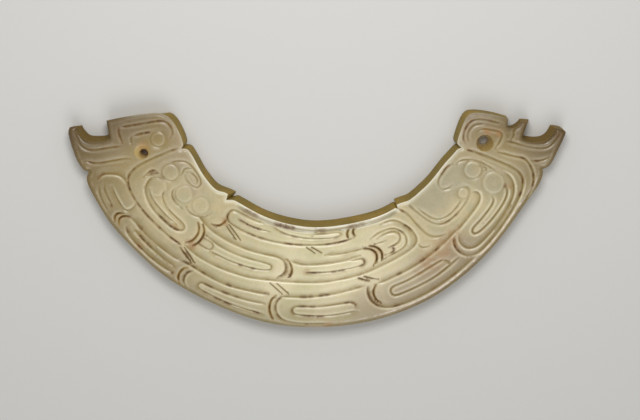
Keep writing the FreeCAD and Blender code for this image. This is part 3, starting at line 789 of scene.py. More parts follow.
# %% [markdown]
# The face of the stone is one sheet of small triangles. A plain grid would cut across the grooves
# and tear their edges into teeth. So the sheet's points are laid in rows along each line instead:
# one at the bottom of the groove, one at each shoulder, and others between and beside them. The
# key rows are the bottom and the shoulders: their points stay joined in the sheet.

# %% Rows along one line
middle_row_share = 0.55
outer_rows = (0.25, 0.6)
bend_share = 0.93


def offset_line(line, offset):
    """The points of a line moved sideways, to its left where the offset is positive."""
    along = np.gradient(line, axis=0)
    along /= np.hypot(*along.T)[:, None]
    return line + offset * np.stack([-along[:, 1], along[:, 0]], axis=1)


def rows_of(index):
    """The rows along one line: its index, the points, which of them are sound, and if it is key."""
    tool, line = carved_lines[index]
    offsets = [(0, True)]
    for side, way in (("left", 1), ("right", -1)):
        half = tools[tool][side]
        offsets.append((way * slit_reach, True))
        if half > 2 * slit_reach:
            offsets.append((way * half * middle_row_share, False))
        if tool != "fine":
            offsets.append((way * half, True))
        offsets += [(way * (half + extra), False) for extra in outer_rows]
    rows = []
    for offset, is_key in offsets:
        points = offset_line(line, offset)
        distance, _, _ = nearest_on_line(points, line)
        rows.append((index, points, distance >= bend_share * abs(offset), is_key))
    return rows


rows = [row for index in range(len(carved_lines)) for row in rows_of(index)]
print(len(rows), "rows along the carving")

# %% [markdown]
# A point counts only on the face: inside its outline, and clear of it and of the bores' mouths.

# %% Points on the face
edge_clearance = 0.17


def inside(points, ring):
    """Which points lie inside a closed ring: a ray from each crosses it an odd number of times."""
    after = np.roll(ring, -1, axis=0)
    result = []
    for first in range(0, len(points), block_size):
        block = points[first:first + block_size]
        spans = (ring[:, 1] > block[:, 1:]) != (after[:, 1] > block[:, 1:])
        rise = np.where(after[:, 1] == ring[:, 1], 1, after[:, 1] - ring[:, 1])
        crossing = ring[:, 0] + (block[:, 1:] - ring[:, 1]) / rise * (after[:, 0] - ring[:, 0])
        result.append(((block[:, :1] < crossing) & spans).sum(1) % 2 == 1)
    return np.concatenate(result)


def point_tree(points):
    """A search tree of flat points."""
    tree = kdtree.KDTree(len(points))
    for i, (x, y) in enumerate(points):
        tree.insert((x, y, 0), i)
    tree.balance()
    return tree


outline_tree = point_tree(front_outline)


def from_outline(points):
    """How far each point lies from the outline."""
    return np.array([outline_tree.find((x, y, 0))[2] for x, y in points])


def on_the_face(points):
    """Which points lie on the face, clear of its outline and of the bores' mouths."""
    clear = from_outline(points) > edge_clearance
    for sizes in bores.values():
        from_mouth = np.hypot(*(points - sizes["mouth"]).T) - sizes["mouth_radius"]
        clear &= from_mouth > edge_clearance
    return clear & inside(points, front_outline)


print("The middle of a ribbon is on the face:", bool(on_the_face(on_a_ribbon)[0]))

# %% [markdown]
# Where a deeper groove has cut a row away, or the row would leave the stone, its points are
# dropped.

# %% The rows that survive
cut_tolerance = 0.012


def own_cut(index, points):
    """How deep a line cuts at each point of one of its own rows."""
    own = np.zeros(len(points))
    chosen, _, bevel, slit, _, _ = cut_of(points, index)
    own[chosen] = bevel + slit
    return own


loops = [front_outline, *mouth_rings]
loop_count = sum(len(loop) for loop in loops)
row_points = np.concatenate([points for _, points, _, _ in rows])
row_starts = loop_count + np.cumsum([0] + [len(points) for _, points, _, _ in rows])
good = np.concatenate([sound for _, _, sound, _ in rows])
own_cuts = np.concatenate([own_cut(index, points) for index, points, _, _ in rows])
good &= own_cuts >= carve(row_points)[0] - cut_tolerance
good &= on_the_face(row_points)
print(len(row_points), "row points,", good.sum(), "of them kept")

# %% [markdown]
# The bevel round the front edge needs rows of its own, and a loose grid fills what is left between
# the rows.

# %% Rim rows and fill
rim_row_shares = (0.3, 0.62, 1.0, 1.4)
rim_outer_rows = (0.5, 0.95)
grid_spacing = 0.42


def rim_rows():
    """The points of all rows beside the outline, in from each of its sides."""
    rows = []
    for share in rim_row_shares + rim_outer_rows:
        for _, _, rim, shares in outline_sides.values():
            side = smooth_line(shares, line_spacing)
            inset = share * rim if share in rim_row_shares else rim + share
            row = offset_line(side, -inset)
            distance, _, _ = nearest_on_line(row, side)
            rows.append(row[distance >= bend_share * inset])
    return np.concatenate(rows)


def fill_grid():
    """A grid of triangles' corners over the whole face, every second row set off by half a step."""
    low, high = front_outline.min(0), front_outline.max(0)
    across, up = np.meshgrid(
        np.arange(low[0], high[0], grid_spacing),
        np.arange(low[1], high[1], grid_spacing * math.sqrt(3) / 2),
    )
    across[1::2] += grid_spacing / 2
    return np.stack([across.ravel(), up.ravel()], axis=1)


rim_points, fill_points = rim_rows(), fill_grid()
all_points = np.concatenate([*loops, row_points, rim_points, fill_points])
fill_start = len(all_points) - len(fill_points)
alive = np.concatenate([
    np.ones(loop_count, bool), good, on_the_face(rim_points), on_the_face(fill_points),
])
print(len(rim_points), "rim points and", len(fill_points), "grid points")

# %% [markdown]
# Then each point clears away later points that crowd it, the important ones first: the outline and
# the mouths, the key rows, the other rows, and last the grid.

# %% Thin out the points
point_clearance = 0.115
grid_clearance = 0.6 * grid_spacing


def key_row_spans():
    """The first and last number, plus one, of each key row's points."""
    for (_, points, _, is_key), start in zip(rows, row_starts):
        if is_key:
            yield start, start + len(points)


def uncrowded(candidates):
    """Which candidates stay, when each clears away the later ones that crowd it."""
    tree = point_tree(all_points[candidates])
    kept = np.ones(len(candidates), bool)
    for rank, i in enumerate(candidates):
        if not kept[rank]:
            continue
        x, y = all_points[i]
        reach = point_clearance if i < fill_start else grid_clearance
        for _, other, _ in tree.find_range((x, y, 0), reach):
            if other > rank and candidates[other] >= loop_count:
                kept[other] = False
            elif i >= fill_start and other < rank and kept[other]:
                kept[rank] = False
    return kept


importance = np.full(len(all_points), 2)
importance[:loop_count] = 0
for start, end in key_row_spans():
    importance[start:end] = 1
importance[fill_start:] = 3
order = np.argsort(importance, kind="stable")
candidates = order[alive[order]]
is_kept = np.zeros(len(all_points), bool)
is_kept[candidates[uncrowded(candidates)]] = True
print(len(candidates), "candidates,", is_kept.sum(), "points kept")

# %% [markdown]
# A constrained Delaunay triangulation joins the points into the sheet. It is told to keep the
# outline, the mouths, and the bottom and shoulder rows as edges, so every groove gets a crisp line.

# %% Join the points into a sheet
same_place = 1e-6
keep_inside = 1


def sheet_edges():
    """The edges the sheet has to keep, as pairs of numbers of kept points."""
    number = np.cumsum(is_kept) - 1
    edges = []
    start = 0
    for loop in loops:
        ring = list(range(start, start + len(loop)))
        edges += list(zip(ring, ring[1:] + ring[:1]))
        start += len(loop)
    for start, end in key_row_spans():
        together = is_kept[start:end - 1] & is_kept[start + 1:end]
        for i in np.flatnonzero(together) + start:
            edges.append((int(number[i]), int(number[i + 1])))
    return edges


sheet_points = [Vector(point) for point in all_points[is_kept]]
result = delaunay_2d_cdt(sheet_points, sheet_edges(), [], keep_inside, same_place)
flat_points = np.array([tuple(point) for point in result[0]])
triangles = np.array(result[2])
middles = flat_points[triangles].mean(1)
for ring in mouth_rings:
    in_mouth = inside(middles, ring)
    triangles, middles = triangles[~in_mouth], middles[~in_mouth]
loop_place = np.full(len(flat_points), -1)
for i, sources in enumerate(result[3]):
    for source in sources:
        if source < loop_count:
            loop_place[i] = source
print(len(flat_points), "points,", len(triangles), "triangles in the sheet")
print("Loop points found:", (loop_place >= 0).sum(), "of", loop_count)

# %% [markdown]
# Now the flat sheet gets its relief. The cuts and falls of the carving come off the full thickness,
# and so do the bevel of the front edge, a broad rounding towards it, and the slow waves that
# polishing by hand leaves in a hard stone.

# %% How the edges and lips are worn
rim_depth = 0.5
rim_softness = 0.18
edge_fall = 0.14
edge_reach = 1.5
mouth_lip = 0.16
lip_depth = 0.07


def rim_drop(points):
    """How far the front edge's bevel and its broad rounding lower each point."""
    drop = np.zeros(len(points))
    near = np.flatnonzero(from_outline(points) < 3 * edge_reach)
    closest = np.full(len(near), np.inf)
    for _, _, rim, shares in outline_sides.values():
        side = smooth_line(shares, outline_spacing)
        chosen = close_to(points[near], side, 3 * edge_reach)
        distance, _, _ = nearest_on_line(points[near[chosen]], side)
        closest[chosen] = np.minimum(closest[chosen], distance)
        bevel = soft_ramp(rim_depth * (1 - distance / rim), rim_softness)
        drop[near[chosen]] = np.maximum(drop[near[chosen]], bevel)
    drop[near] += edge_fall * np.exp(-(closest / edge_reach) ** 2)
    return drop


def lip_drop(points):
    """The worn lip round the mouths of the bores."""
    drop = np.zeros(len(points))
    for sizes in bores.values():
        beyond = np.hypot(*(points - sizes["mouth"]).T) - sizes["mouth_radius"]
        drop += lip_depth * np.exp(-np.maximum(beyond, 0) / mouth_lip)
    return drop


worn_edge = rim_drop(flat_points)
print("The edge is worn by up to", worn_edge.max().round(2), "mm")

# %% Heights of the face
wave_height = 0.07
wave_length = 6.5
wave_level = 4.2
cut_depth, fall_depth, deepest_line, line_distance, ridge_highlights = carve(flat_points)
waves = np.array([
    noise.noise((x / wave_length, y / wave_length, wave_level)) for x, y in flat_points
])
face_heights = thickness - cut_depth - fall_depth - worn_edge - lip_drop(flat_points)
face_heights -= wave_height * (1 + waves) / 2
print("Face heights from", face_heights.min().round(2), "to", face_heights.max().round(2), "mm")

# %% [markdown]
# The sheet becomes a mesh. Its open edges then grow the rest of the stone, as one would do by hand:
# the outline and the two mouths are extruded level by level, down the leaning wall and down the
# bores, and each new ring is laid in its place.

# %% The face as a mesh
def in_metres(flat, heights):
    """Points in the frame, in metres, from the layout in millimetres."""
    return np.column_stack([flat + arc_centre, heights]) * to_metres


def set_places(mesh, places):
    """Writes all vertex places of a mesh."""
    mesh.vertices.foreach_set("co", places.astype(np.float32).ravel())
    mesh.update()


mesh = bpy.data.meshes.new("jade_pendant")
mesh.from_pydata(in_metres(flat_points, face_heights).tolist(), [], triangles.tolist())
pendant = bpy.data.objects.new("jade_pendant", mesh)
bpy.context.scene.collection.objects.link(pendant)
ring_place = mesh.attributes.new("ring_place", "INT", "POINT")
ring_place.data.foreach_set("value", loop_place.astype(np.int32))
face_count = len(flat_points)
bpy.context.view_layer.objects.active = pendant
pendant.select_set(True)
print("The face has", len(mesh.polygons), "triangles")

# %% [markdown]
# Levels of the wall, from the front edge to the back. Between the levels the lean grows evenly,
# and the last three turn round the back edge onto the flat back. Three stretches of the outline
# slant inward instead, and are drawn in at the back.

# %% Levels of the wall
wall_heights = (5.15, 4.2, 3.1, 2.0, 1.0, 0.35)
back_rim = 0.35
back_inset = 1.0
back_levels = ((0.1, 0.09), (0.0, back_rim), (0.0, back_inset))
wall_wave = 0.05
wall_wave_length = 3
undercuts = [
    ((-81.7, 0.64), (-81.5, 0.12), (0.0, -0.95)),
    ((-81.4, 1.04), (-81.5, 0.99), (0.1, -0.8)),
    ((-40.3, -0.105), (-40.1, -0.1), (1.4, -0.85)),
]
undercut_reach = 3.2
undercut_steps = 12


def undercut(points):
    """How far each point of the outline is drawn in at the back, where the wall slants inward."""
    shift = np.zeros_like(points)
    for start, end, amount in undercuts:
        line = np.linspace(place(*start), place(*end), undercut_steps)
        distance, _, _ = nearest_on_line(points, line)
        share = np.clip(1 - distance / undercut_reach, 0, 1)
        shift += (share * share * (3 - 2 * share))[:, None] * amount
    return shift


def wall_levels():
    """The stone's outline at each level below the front edge, with its height."""
    front_edge = thickness - rim_depth
    levels = []
    drawn_in = undercut(front_outline)
    for height in wall_heights:
        lean = 1 - height / front_edge
        levels.append((outline_at(lean, 0) + lean * drawn_in, height))
    for height, inset in back_levels:
        levels.append((outline_at(1, inset) + drawn_in, height))
    for ring, height in levels[:-len(back_levels)]:
        for point in ring:
            away = point / np.hypot(*point)
            wave = noise.noise([part / wall_wave_length for part in (*point, height)])
            point += away * wall_wave * wave
    return levels


stacks = [wall_levels()]
print("The wall has", len(stacks[0]), "levels")

# %% [markdown]
# The bores have as many levels: the mouth's funnel, the throat, and a small chamfer where the
# throat meets the back.

# %% Levels of the bores
funnels = {
    "left": ((0.05, 5.88), (0.45, 5.66), (0.88, 5.3), (0.97, 4.4), (1.0, 2.0)),
    "right": ((0.05, 5.7), (0.25, 5.0), (0.5, 4.0), (0.78, 2.8), (1.0, 1.5)),
}
throat_levels = ((0.5, 0.0), (0.06, 0.0), (0.0, 0.12), (0.0, 0.5))


def bore_levels(sizes, ring, funnel):
    """The rings of one bore from under its lip to the back, with their heights."""
    spokes = (ring - sizes["mouth"]) / sizes["mouth_radius"]
    reach = sizes["throat"] - sizes["mouth"]
    levels = []
    for share, height in funnel:
        radius = sizes["mouth_radius"] + (sizes["throat_radius"] - sizes["mouth_radius"]) * share
        levels.append((sizes["mouth"] + reach * share + spokes * radius, height))
    for length_share, widening in throat_levels:
        radius = sizes["throat_radius"] + widening
        levels.append((sizes["throat"] + spokes * radius, sizes["throat_length"] * length_share))
    return levels


for (bore_name, sizes), ring in zip(bores.items(), mouth_rings):
    stacks.append(bore_levels(sizes, ring, funnels[bore_name]))
level_places = []
for rings in zip(*stacks):
    level_places.append(np.concatenate([
        in_metres(ring, np.full(len(ring), height)) for ring, height in rings
    ]))
print(len(level_places), "levels of", len(level_places[0]), "points")

# %% Extrude the levels and close the back
smooth_angle = 48
bpy.ops.object.mode_set(mode="EDIT")
bpy.ops.mesh.select_mode(type="EDGE")
bpy.ops.mesh.select_all(action="DESELECT")
bpy.ops.mesh.select_non_manifold()
for places in level_places:
    bpy.ops.mesh.extrude_edges_move()
    bpy.ops.object.mode_set(mode="OBJECT")
    count = len(mesh.vertices)
    chosen = np.zeros(count, bool)
    mesh.vertices.foreach_get("select", chosen)
    order = np.zeros(count, np.int32)
    mesh.attributes["ring_place"].data.foreach_get("value", order)
    co = np.zeros(count * 3, np.float32)
    mesh.vertices.foreach_get("co", co)
    co = co.reshape(-1, 3)
    co[chosen] = places[order[chosen]]
    set_places(mesh, co)
    bpy.ops.object.mode_set(mode="EDIT")
bpy.ops.mesh.fill(use_beauty=True)
bpy.ops.mesh.select_all(action="SELECT")
bpy.ops.mesh.normals_make_consistent(inside=False)
bpy.ops.mesh.select_all(action="DESELECT")
bpy.ops.mesh.select_non_manifold()
bpy.ops.object.mode_set(mode="OBJECT")
open_edges = sum(edge.select for edge in mesh.edges)
bpy.ops.object.shade_smooth_by_angle(angle=math.radians(smooth_angle))
print(len(mesh.polygons), "faces in all, open edges:", open_edges)

# %% [markdown]
# The finish follows the carving through masks on the vertices: how deep in a groove a point lies,
# where a highlight is painted along the raised side of a cut, how near the front edge it lies,
# and how far from the middle of the arc towards the heads, which carries painted light and shade.
# Other masks are listed marks on the layout: each is an angle, a share, a reach in millimetres and
# a strength. They say where old residue stayed in the grooves, where iron stained the stone, and
# where it is lilac or grey.

# %% Residue, stains and patches
residue_marks = [
    (-76.5, 0.015, 0.8, 0.6), (-79.0, 0.11, 1.2, 0.8), (-79.1, 0.2, 1.2, 0.7),
    (-79.1, 0.35, 1.2, 0.8), (-79.2, 0.46, 1.0, 0.6), (-78.4, 0.553, 0.9, 0.7),
    (-76.8, 0.557, 0.8, 0.6), (-75.2, 0.553, 0.8, 0.6), (-75.9, 0.27, 0.7, 1.0),
    (-75.9, 0.35, 0.9, 0.7), (-72.0, 0.92, 0.8, 0.7), (-71.2, 0.8, 0.9, 0.4),
    (-68.3, 0.91, 0.8, 0.9), (-68.4, 0.85, 0.6, 0.6), (-75.0, 0.9, 0.8, 0.5),
    (-74.5, 0.75, 0.9, 0.6), (-74.1, 0.63, 0.8, 0.5), (-63.6, 0.37, 0.8, 1.0),
    (-62.4, 0.34, 0.7, 0.6), (-66.4, 0.54, 0.6, 0.5), (-65.2, 0.617, 0.8, 0.6),
    (-63.2, 0.66, 0.8, 0.9), (-62.0, 0.67, 0.6, 0.9), (-59.5, 0.678, 0.7, 0.5),
    (-57.0, 0.677, 0.8, 0.5), (-54.5, 0.673, 0.9, 0.8), (-53.0, 0.67, 0.8, 0.9),
    (-51.6, 0.665, 0.7, 0.6), (-48.7, 0.657, 0.6, 0.7), (-44.0, 0.64, 0.8, 1.0),
    (-43.0, 0.636, 0.9, 1.0), (-42.0, 0.63, 0.8, 1.0), (-50.2, 0.567, 1.0, 0.9),
    (-48.6, 0.563, 0.8, 0.9), (-46.6, 0.556, 0.8, 0.8), (-45.2, 0.54, 0.8, 1.0),
    (-52.0, 0.812, 0.9, 0.9), (-49.5, 0.87, 1.1, 0.9), (-47.0, 0.868, 0.8, 0.8),
    (-60.3, 0.925, 0.7, 0.9), (-56.3, 0.86, 0.8, 0.9), (-56.7, 0.92, 0.9, 0.7),
    (-57.9, 0.92, 0.9, 0.8), (-55.9, 0.835, 0.7, 0.9), (-53.2, 0.93, 0.8, 0.7),
    (-48.2, 0.952, 0.9, 1.0), (-37.6, 0.925, 0.8, 0.9), (-44.0, 0.945, 0.7, 0.4),
    (-37.7, 0.4, 1.0, 0.8), (-37.5, 0.47, 1.2, 1.0), (-38.3, 0.545, 0.9, 0.9),
    (-39.2, 0.47, 0.9, 0.6), (-39.6, 0.53, 0.9, 0.9), (-38.6, 0.69, 1.2, 1.0),
    (-36.9, 0.72, 1.2, 1.0), (-37.4, 0.675, 0.8, 0.6), (-34.6, 0.73, 0.7, 0.9),
    (-34.9, 0.82, 0.9, 0.8), (-35.1, 0.89, 1.0, 0.9), (-36.5, 0.86, 0.9, 0.6),
    (-36.4, 0.92, 0.9, 0.9), (-31.5, 0.745, 0.7, 0.6), (-24.0, 0.733, 0.8, 0.8),
    (-13.5, 0.69, 0.8, 0.7), (-29.0, 0.83, 0.8, 0.6), (-28.0, 0.83, 0.8, 0.7),
    (-24.0, 0.825, 1.0, 0.9), (-21.0, 0.82, 0.7, 0.5), (-28.5, 0.915, 0.8, 0.5),
    (-25.0, 0.917, 1.1, 0.9), (-22.5, 0.92, 1.1, 1.0), (-15.0, 0.92, 0.9, 0.9),
    (-19.5, 0.468, 0.6, 0.9), (-23.3, 0.482, 0.6, 0.9), (-9.6, 0.36, 1.0, 0.8),
    (-9.7, 0.42, 1.0, 0.9), (-10.6, 0.47, 0.8, 0.7), (-7.6, 0.4, 0.9, 0.7), (-8.1, 0.45, 0.9, 1.0),
    (-5.0, 0.345, 0.8, 0.7), (-3.1, 0.37, 1.0, 1.0), (-2.0, 0.401, 1.0, 0.9),
    (-0.6, 0.402, 1.0, 0.9), (0.6, 0.4, 0.7, 0.6), (5.5, 0.396, 0.9, 0.6), (8.0, 0.392, 0.9, 0.7),
    (14.8, 0.375, 0.9, 0.8), (15.6, 0.345, 0.9, 0.7), (-3.4, 0.668, 0.9, 0.8),
    (-1.5, 0.662, 0.7, 0.7), (1.4, 0.65, 0.8, 0.8), (3.0, 0.642, 0.8, 0.8), (-10.2, 0.73, 0.9, 0.8),
    (-9.3, 0.73, 0.7, 0.8), (-11.9, 0.74, 0.8, 0.7), (-10.6, 0.82, 0.9, 0.5),
    (-12.0, 0.84, 1.2, 0.8), (-11.7, 0.9, 1.0, 0.9), (-10.9, 0.94, 0.9, 0.7),
    (-9.4, 0.91, 0.9, 0.7), (-3.4, 0.772, 1.2, 0.9), (-1.0, 0.77, 0.8, 0.7), (-6.1, 0.84, 1.0, 0.8),
    (-3.0, 0.873, 0.9, 0.7), (-1.4, 0.876, 1.0, 1.0), (1.0, 0.876, 1.1, 1.0), (8.2, 0.75, 0.8, 0.7),
    (10.0, 0.77, 0.9, 0.8), (-2.3, 0.985, 0.6, 0.9), (-24.0, 0.131, 1.1, 0.8),
    (-20.0, 0.127, 0.9, 0.6), (-10.0, 0.112, 1.2, 0.9), (-6.5, 0.108, 1.0, 0.7),
    (5.0, 0.094, 1.1, 0.8), (8.0, 0.088, 1.3, 1.0), (10.5, 0.083, 1.0, 0.9),
    (-29.0, 0.046, 1.0, 0.9), (-26.5, 0.048, 1.1, 1.0), (-24.0, 0.047, 0.9, 0.8),
    (-22.4, 0.043, 0.7, 1.0), (-34.9, 0.09, 0.9, 0.9), (-34.7, 0.12, 0.7, 0.6),
    (-29.0, -0.068, 1.0, 0.6), (-26.0, -0.068, 0.9, 0.5), (-15.5, -0.066, 1.1, 0.9),
    (-12.0, -0.063, 1.2, 1.0), (-10.0, -0.06, 0.9, 0.8), (2.0, -0.058, 1.4, 0.5),
    (15.0, -0.05, 1.3, 0.6), (18.5, -0.045, 1.0, 0.5), (12.2, 0.03, 1.1, 0.8),
    (14.6, 0.02, 1.1, 0.7), (-12.6, 0.018, 1.1, 0.4), (-8.5, 0.023, 0.9, 0.5),
    (19.6, 0.26, 1.3, 1.0), (20.1, 0.31, 1.3, 1.0), (19.8, 0.355, 1.1, 1.0),
    (17.4, 0.215, 0.8, 0.7), (21.5, 0.28, 1.1, 1.0), (21.8, 0.32, 1.1, 1.0), (21.5, 0.36, 1.0, 0.9),
    (20.0, 0.215, 0.9, 0.7), (25.9, 0.325, 0.9, 1.0), (25.4, 0.352, 0.7, 0.8),
    (33.9, 0.2, 0.7, 0.6), (33.2, 0.175, 0.6, 0.9), (33.9, 0.235, 0.6, 0.8), (30.9, 0.2, 0.8, 0.5),
    (13.4, 0.52, 0.9, 1.0), (14.6, 0.54, 1.0, 1.0), (15.8, 0.53, 0.9, 0.5), (24.3, 0.6, 0.8, 0.7),
    (32.0, 0.585, 0.8, 0.8), (37.0, 0.57, 0.8, 0.8), (14.4, 0.66, 1.0, 0.6), (14.3, 0.72, 1.3, 1.0),
    (14.8, 0.79, 1.2, 1.0), (15.6, 0.83, 1.1, 1.0), (15.7, 0.71, 1.1, 0.8), (16.1, 0.79, 1.1, 1.0),
    (16.9, 0.83, 1.0, 0.9), (20.5, 0.91, 0.9, 0.7), (36.6, 0.9, 0.8, 0.7), (30.5, 0.914, 0.8, 0.4),
    (41.5, 0.72, 1.0, 0.8), (41.7, 0.68, 0.9, 0.9), (42.2, 0.61, 0.8, 0.7), (35.2, 0.02, 0.7, 0.7),
    (38.9, 0.04, 0.9, 0.5), (45.0, 0.415, 0.8, 0.5), (48.5, 0.43, 0.8, 0.5), (57.5, 0.04, 1.2, 0.8),
    (59.3, 0.046, 1.1, 0.7), (63.1, 0.68, 0.6, 0.9), (67.5, 0.775, 0.9, 0.4),
    (63.0, 0.86, 0.7, 0.9), (66.4, 0.822, 0.8, 0.9), (57.8, 0.876, 0.6, 0.3), (68.5, 0.9, 0.8, 0.9),
    (66.6, 0.938, 0.8, 0.9), (70.2, 0.845, 0.7, 0.5), (76.3, 0.066, 1.1, 0.8),
    (78.6, 0.105, 0.9, 0.7), (74.2, 0.06, 0.7, 0.3), (72.2, 0.075, 0.9, 0.5),
    (71.9, 0.73, 0.8, 0.7), (72.2, 0.88, 0.8, 0.8), (79.4, 1.028, 0.9, 0.9), (80.1, 0.3, 0.6, 0.4),
    (68.8, 0.17, 1.0, 0.9), (68.6, 0.3, 0.7, 0.4), (75.2, 0.55, 0.6, 0.5), (-71.5, 0.055, 0.7, 0.4),
    (-67.0, 0.06, 0.8, 0.5), (-60.2, 0.32, 0.8, 0.5), (-56.5, 0.395, 0.7, 0.3),
    (-37.4, 0.245, 0.9, 0.4), (-35.6, 0.215, 0.8, 0.6), (57.5, 0.45, 0.7, 0.4),
    (-52.6, 0.33, 0.8, 0.3),
]
iron_marks = [
    (-71.8, 0.36, 1.4, 0.75), (-34.6, 0.14, 1.0, 0.7), (76.9, 0.3, 1.3, 0.8), (77.0, 0.4, 1.1, 0.7),
    (-38.4, 0.56, 1.2, 0.7), (-39.8, 0.55, 1.0, 0.6), (-8.6, 0.44, 1.0, 0.5), (20.3, 0.3, 1.0, 0.4),
    (3.0, 0.985, 1.4, 0.5), (6.0, 0.99, 1.2, 0.4), (-3.0, 0.395, 0.9, 0.6), (42.0, 0.62, 1.5, 0.6),
    (34.0, 0.63, 3.2, 0.6), (38.5, 0.6, 3.0, 0.6), (44.0, 0.57, 2.2, 0.5), (30.5, 0.65, 2.0, 0.4),
    (43.6, 0.4, 1.0, 0.4), (-48.2, 0.95, 1.0, 0.4), (-45.5, 0.54, 0.9, 0.5), (63.6, 0.72, 0.8, 0.5),
]
lilac_marks = [
    (14, 0.83, 5.5, 0.6), (23, 0.83, 5.5, 0.8), (32, 0.78, 6, 0.9), (41, 0.75, 5.5, 0.9),
    (48, 0.8, 5, 0.5), (40, 0.95, 4, 0.6), (27, 0.96, 4, 0.8), (-63, 0.05, 3, 0.5),
    (-52, 0.06, 3, 0.5), (-70, 0.0, 1.8, 0.4), (-74, 0.03, 2.2, 0.5), (-78.5, 0.05, 1.8, 0.4),
    (70.5, 0.25, 2, 0.4), (75, 0.75, 3, 0.25), (-40, 0.85, 4, 0.3), (71.5, 0.1, 1.6, 0.5),
    (75, 0.07, 1.8, 0.6), (79, 0.09, 1.8, 0.6), (80.6, 0.25, 1.8, 0.6), (80.3, 0.59, 1.5, 0.5),
]
grey_marks = [(47, 0.1, 4.5, 0.8), (54, 0.12, 4.5, 0.8), (60, 0.2, 4, 0.7), (62, 0.5, 4, 0.5)]
print(len(residue_marks), "residue marks and", len(iron_marks), "iron stains")

# %% The points of the mesh
above_back = 0.02
bore_reach = 0.9
mark_edge = 4
count = len(mesh.vertices)
co = np.zeros(count * 3)
mesh.vertices.foreach_get("co", co)
co = co.reshape(-1, 3) / to_metres
flat, heights = co[:, :2] - arc_centre, co[:, 2]
angles = np.degrees(np.arctan2(flat[:, 0], -flat[:, 1]))
shares = (np.hypot(*flat.T) - inner_radius) / band_width
on_face = np.arange(count) < face_count
in_bore = np.zeros(count)
for sizes in bores.values():
    beyond = np.hypot(*(flat - sizes["throat"]).T)
    in_bore[(beyond < sizes["mouth_radius"] + bore_reach) & ~on_face & (heights > above_back)] = 1
on_wall = ~on_face & (heights > above_back) & (in_bore == 0)


def marked(marks):
    """The strongest mark at each point, fading out over the mark's reach."""
    strength = np.zeros(count)
    for angle, share, reach, amount in marks:
        distance = np.hypot(*(flat - place(angle, share)).T)
        strength = np.maximum(strength, amount * np.exp(-(distance / reach) ** mark_edge))
    return strength


print(on_wall.sum(), "points on the wall,", round(in_bore.sum()), "in the bores")

# %% Shares that follow the carving
def for_all(values):
    """Values of the face's points, with nothing for the points of walls and back."""
    return np.concatenate([values, np.zeros(count - face_count)])


def line_is(tool):
    """Which points of the face have a line of one tool as their deepest."""
    wanted = np.array([line_tool == tool for line_tool, _ in carved_lines] + [False])
    return for_all(wanted[deepest_line])


def near_line(reach, gain=1):
    """A share that is 1 in the bottom of a cut and fades out at a reach from its line."""
    return for_all(np.clip(gain * (1 - line_distance / reach), 0, 1))


def ramp(values, start, length):
    """A share that grows from 0 at a start to 1 a length further on."""
    return np.clip((values - start) / length, 0, 1)


in_line, in_cut = near_line(0.24), near_line(0.33, 1.5)
round_lines = line_is("boss") + line_is("soft_boss")
residue_places = marked(residue_marks)
print("Points in the bottom of a cut:", (in_line > 0).sum())

# %% [markdown]
# The front edge has two masks, for its concave and its convex side: a highlight is painted on the
# concave bevel, and the convex bevel gets an olive tint, partly the stone's own and partly painted
# shade. Just inside the bevel of the convex side a lighter line is painted as a highlight, strongest
# on the right.

# %% Shares along the edges
edge_gain, edge_start = 1.4, 0.2
# Where the painted highlight just inside the convex bevel lies, and how strong it is round the arc.
crest_highlight_distance, crest_highlight_width = 1.05, 0.17
convex_side = ramp(shares, 0.35, 0.2)
edge_share = for_all(np.clip(edge_gain * worn_edge / (rim_depth + edge_fall) - edge_start, 0, 1))
edge_distance = for_all(from_outline(flat_points))
painted_crest_highlight = np.exp(-((edge_distance - crest_highlight_distance) / crest_highlight_width) ** 2)
crest_highlight_share = np.interp(angles, (-70, -50, -20, 5, 15, 62, 70), (0.2, 0.35, 0.15, 0.3, 1, 1, 0.3))
# How strong the painted highlight along raised edges is round the arc.
ridge_highlight_share = np.interp(
    angles, (-80, -55, -15, 15, 35, 58, 84), (0.45, 0.65, 0.6, 0.65, 0.8, 1, 1)
)
tip_share = np.interp(shares, (0.2, 0.6, 1), (0.45, 0.8, 1))
print("Points on a front edge:", (edge_share > 0).sum())

# %% Masks on the vertices
masks = {
    "line": in_line * (1 - 0.7 * round_lines) * (1 - line_is("channel")),
    # Darker deep in the cuts: partly the stone's tint, partly painted shade.
    "groove": for_all(ramp(cut_depth, 0, 0.35)),
    "residue": in_cut * residue_places,
    "iron": marked(iron_marks) * (on_face | (in_bore > 0)),
    "stain": near_line(0.8, 1.2) * residue_places,
    "channel": for_all(ramp(cut_depth, 0, 0.14)) * line_is("channel"),
    "fine_line": in_line * line_is("fine"),
    "collar": in_cut * line_is("collar"),
    "collar_tint": near_line(0.55, 1.25) * line_is("collar"),
    # A painted highlight along the raised edges of the cuts.
    "painted_ridge_highlight": for_all(ridge_highlights * (1 - ramp(cut_depth, 0, 0.2))) * ridge_highlight_share,
    # A painted highlight just inside the convex bevel.
    "painted_crest_highlight": painted_crest_highlight * crest_highlight_share * convex_side,
    # Olive on the convex bevel: partly the stone's tint, partly painted shade.
    "outer_rim_tint_and_shade": edge_share * convex_side,
    # A painted highlight on the concave bevel.
    "inner_rim_highlight": edge_share * (1 - convex_side),
    "wall": on_wall,
    "bore": in_bore,
    # Painted light deep in the left bore, where it would lie in shade.
    "throat": in_bore * (heights < 4.9) * (flat[:, 0] < 0),
    "lilac": marked(lilac_marks),
    "grey": marked(grey_marks),
    # Painted shade on the walls of the mouth notches.
    "painted_notch_shade": on_wall * (np.abs(angles) > 74.5) * (shares > 0.5),
    # Where the heads begin; their darker colour is partly the stone's, partly painted shade.
    "head": ramp(np.abs(angles), 49 + 4 * (angles > 0), 26),
    "tip": on_face * tip_share * ramp(np.abs(angles), 71.5, 8),
    # Where the middle of the arc is cream: partly the stone's colour, partly painted light.
    "middle": 1 - ramp(np.abs(angles - 1), 0, 45),
    "outer": ramp(shares, 0.6, 0.35),
}
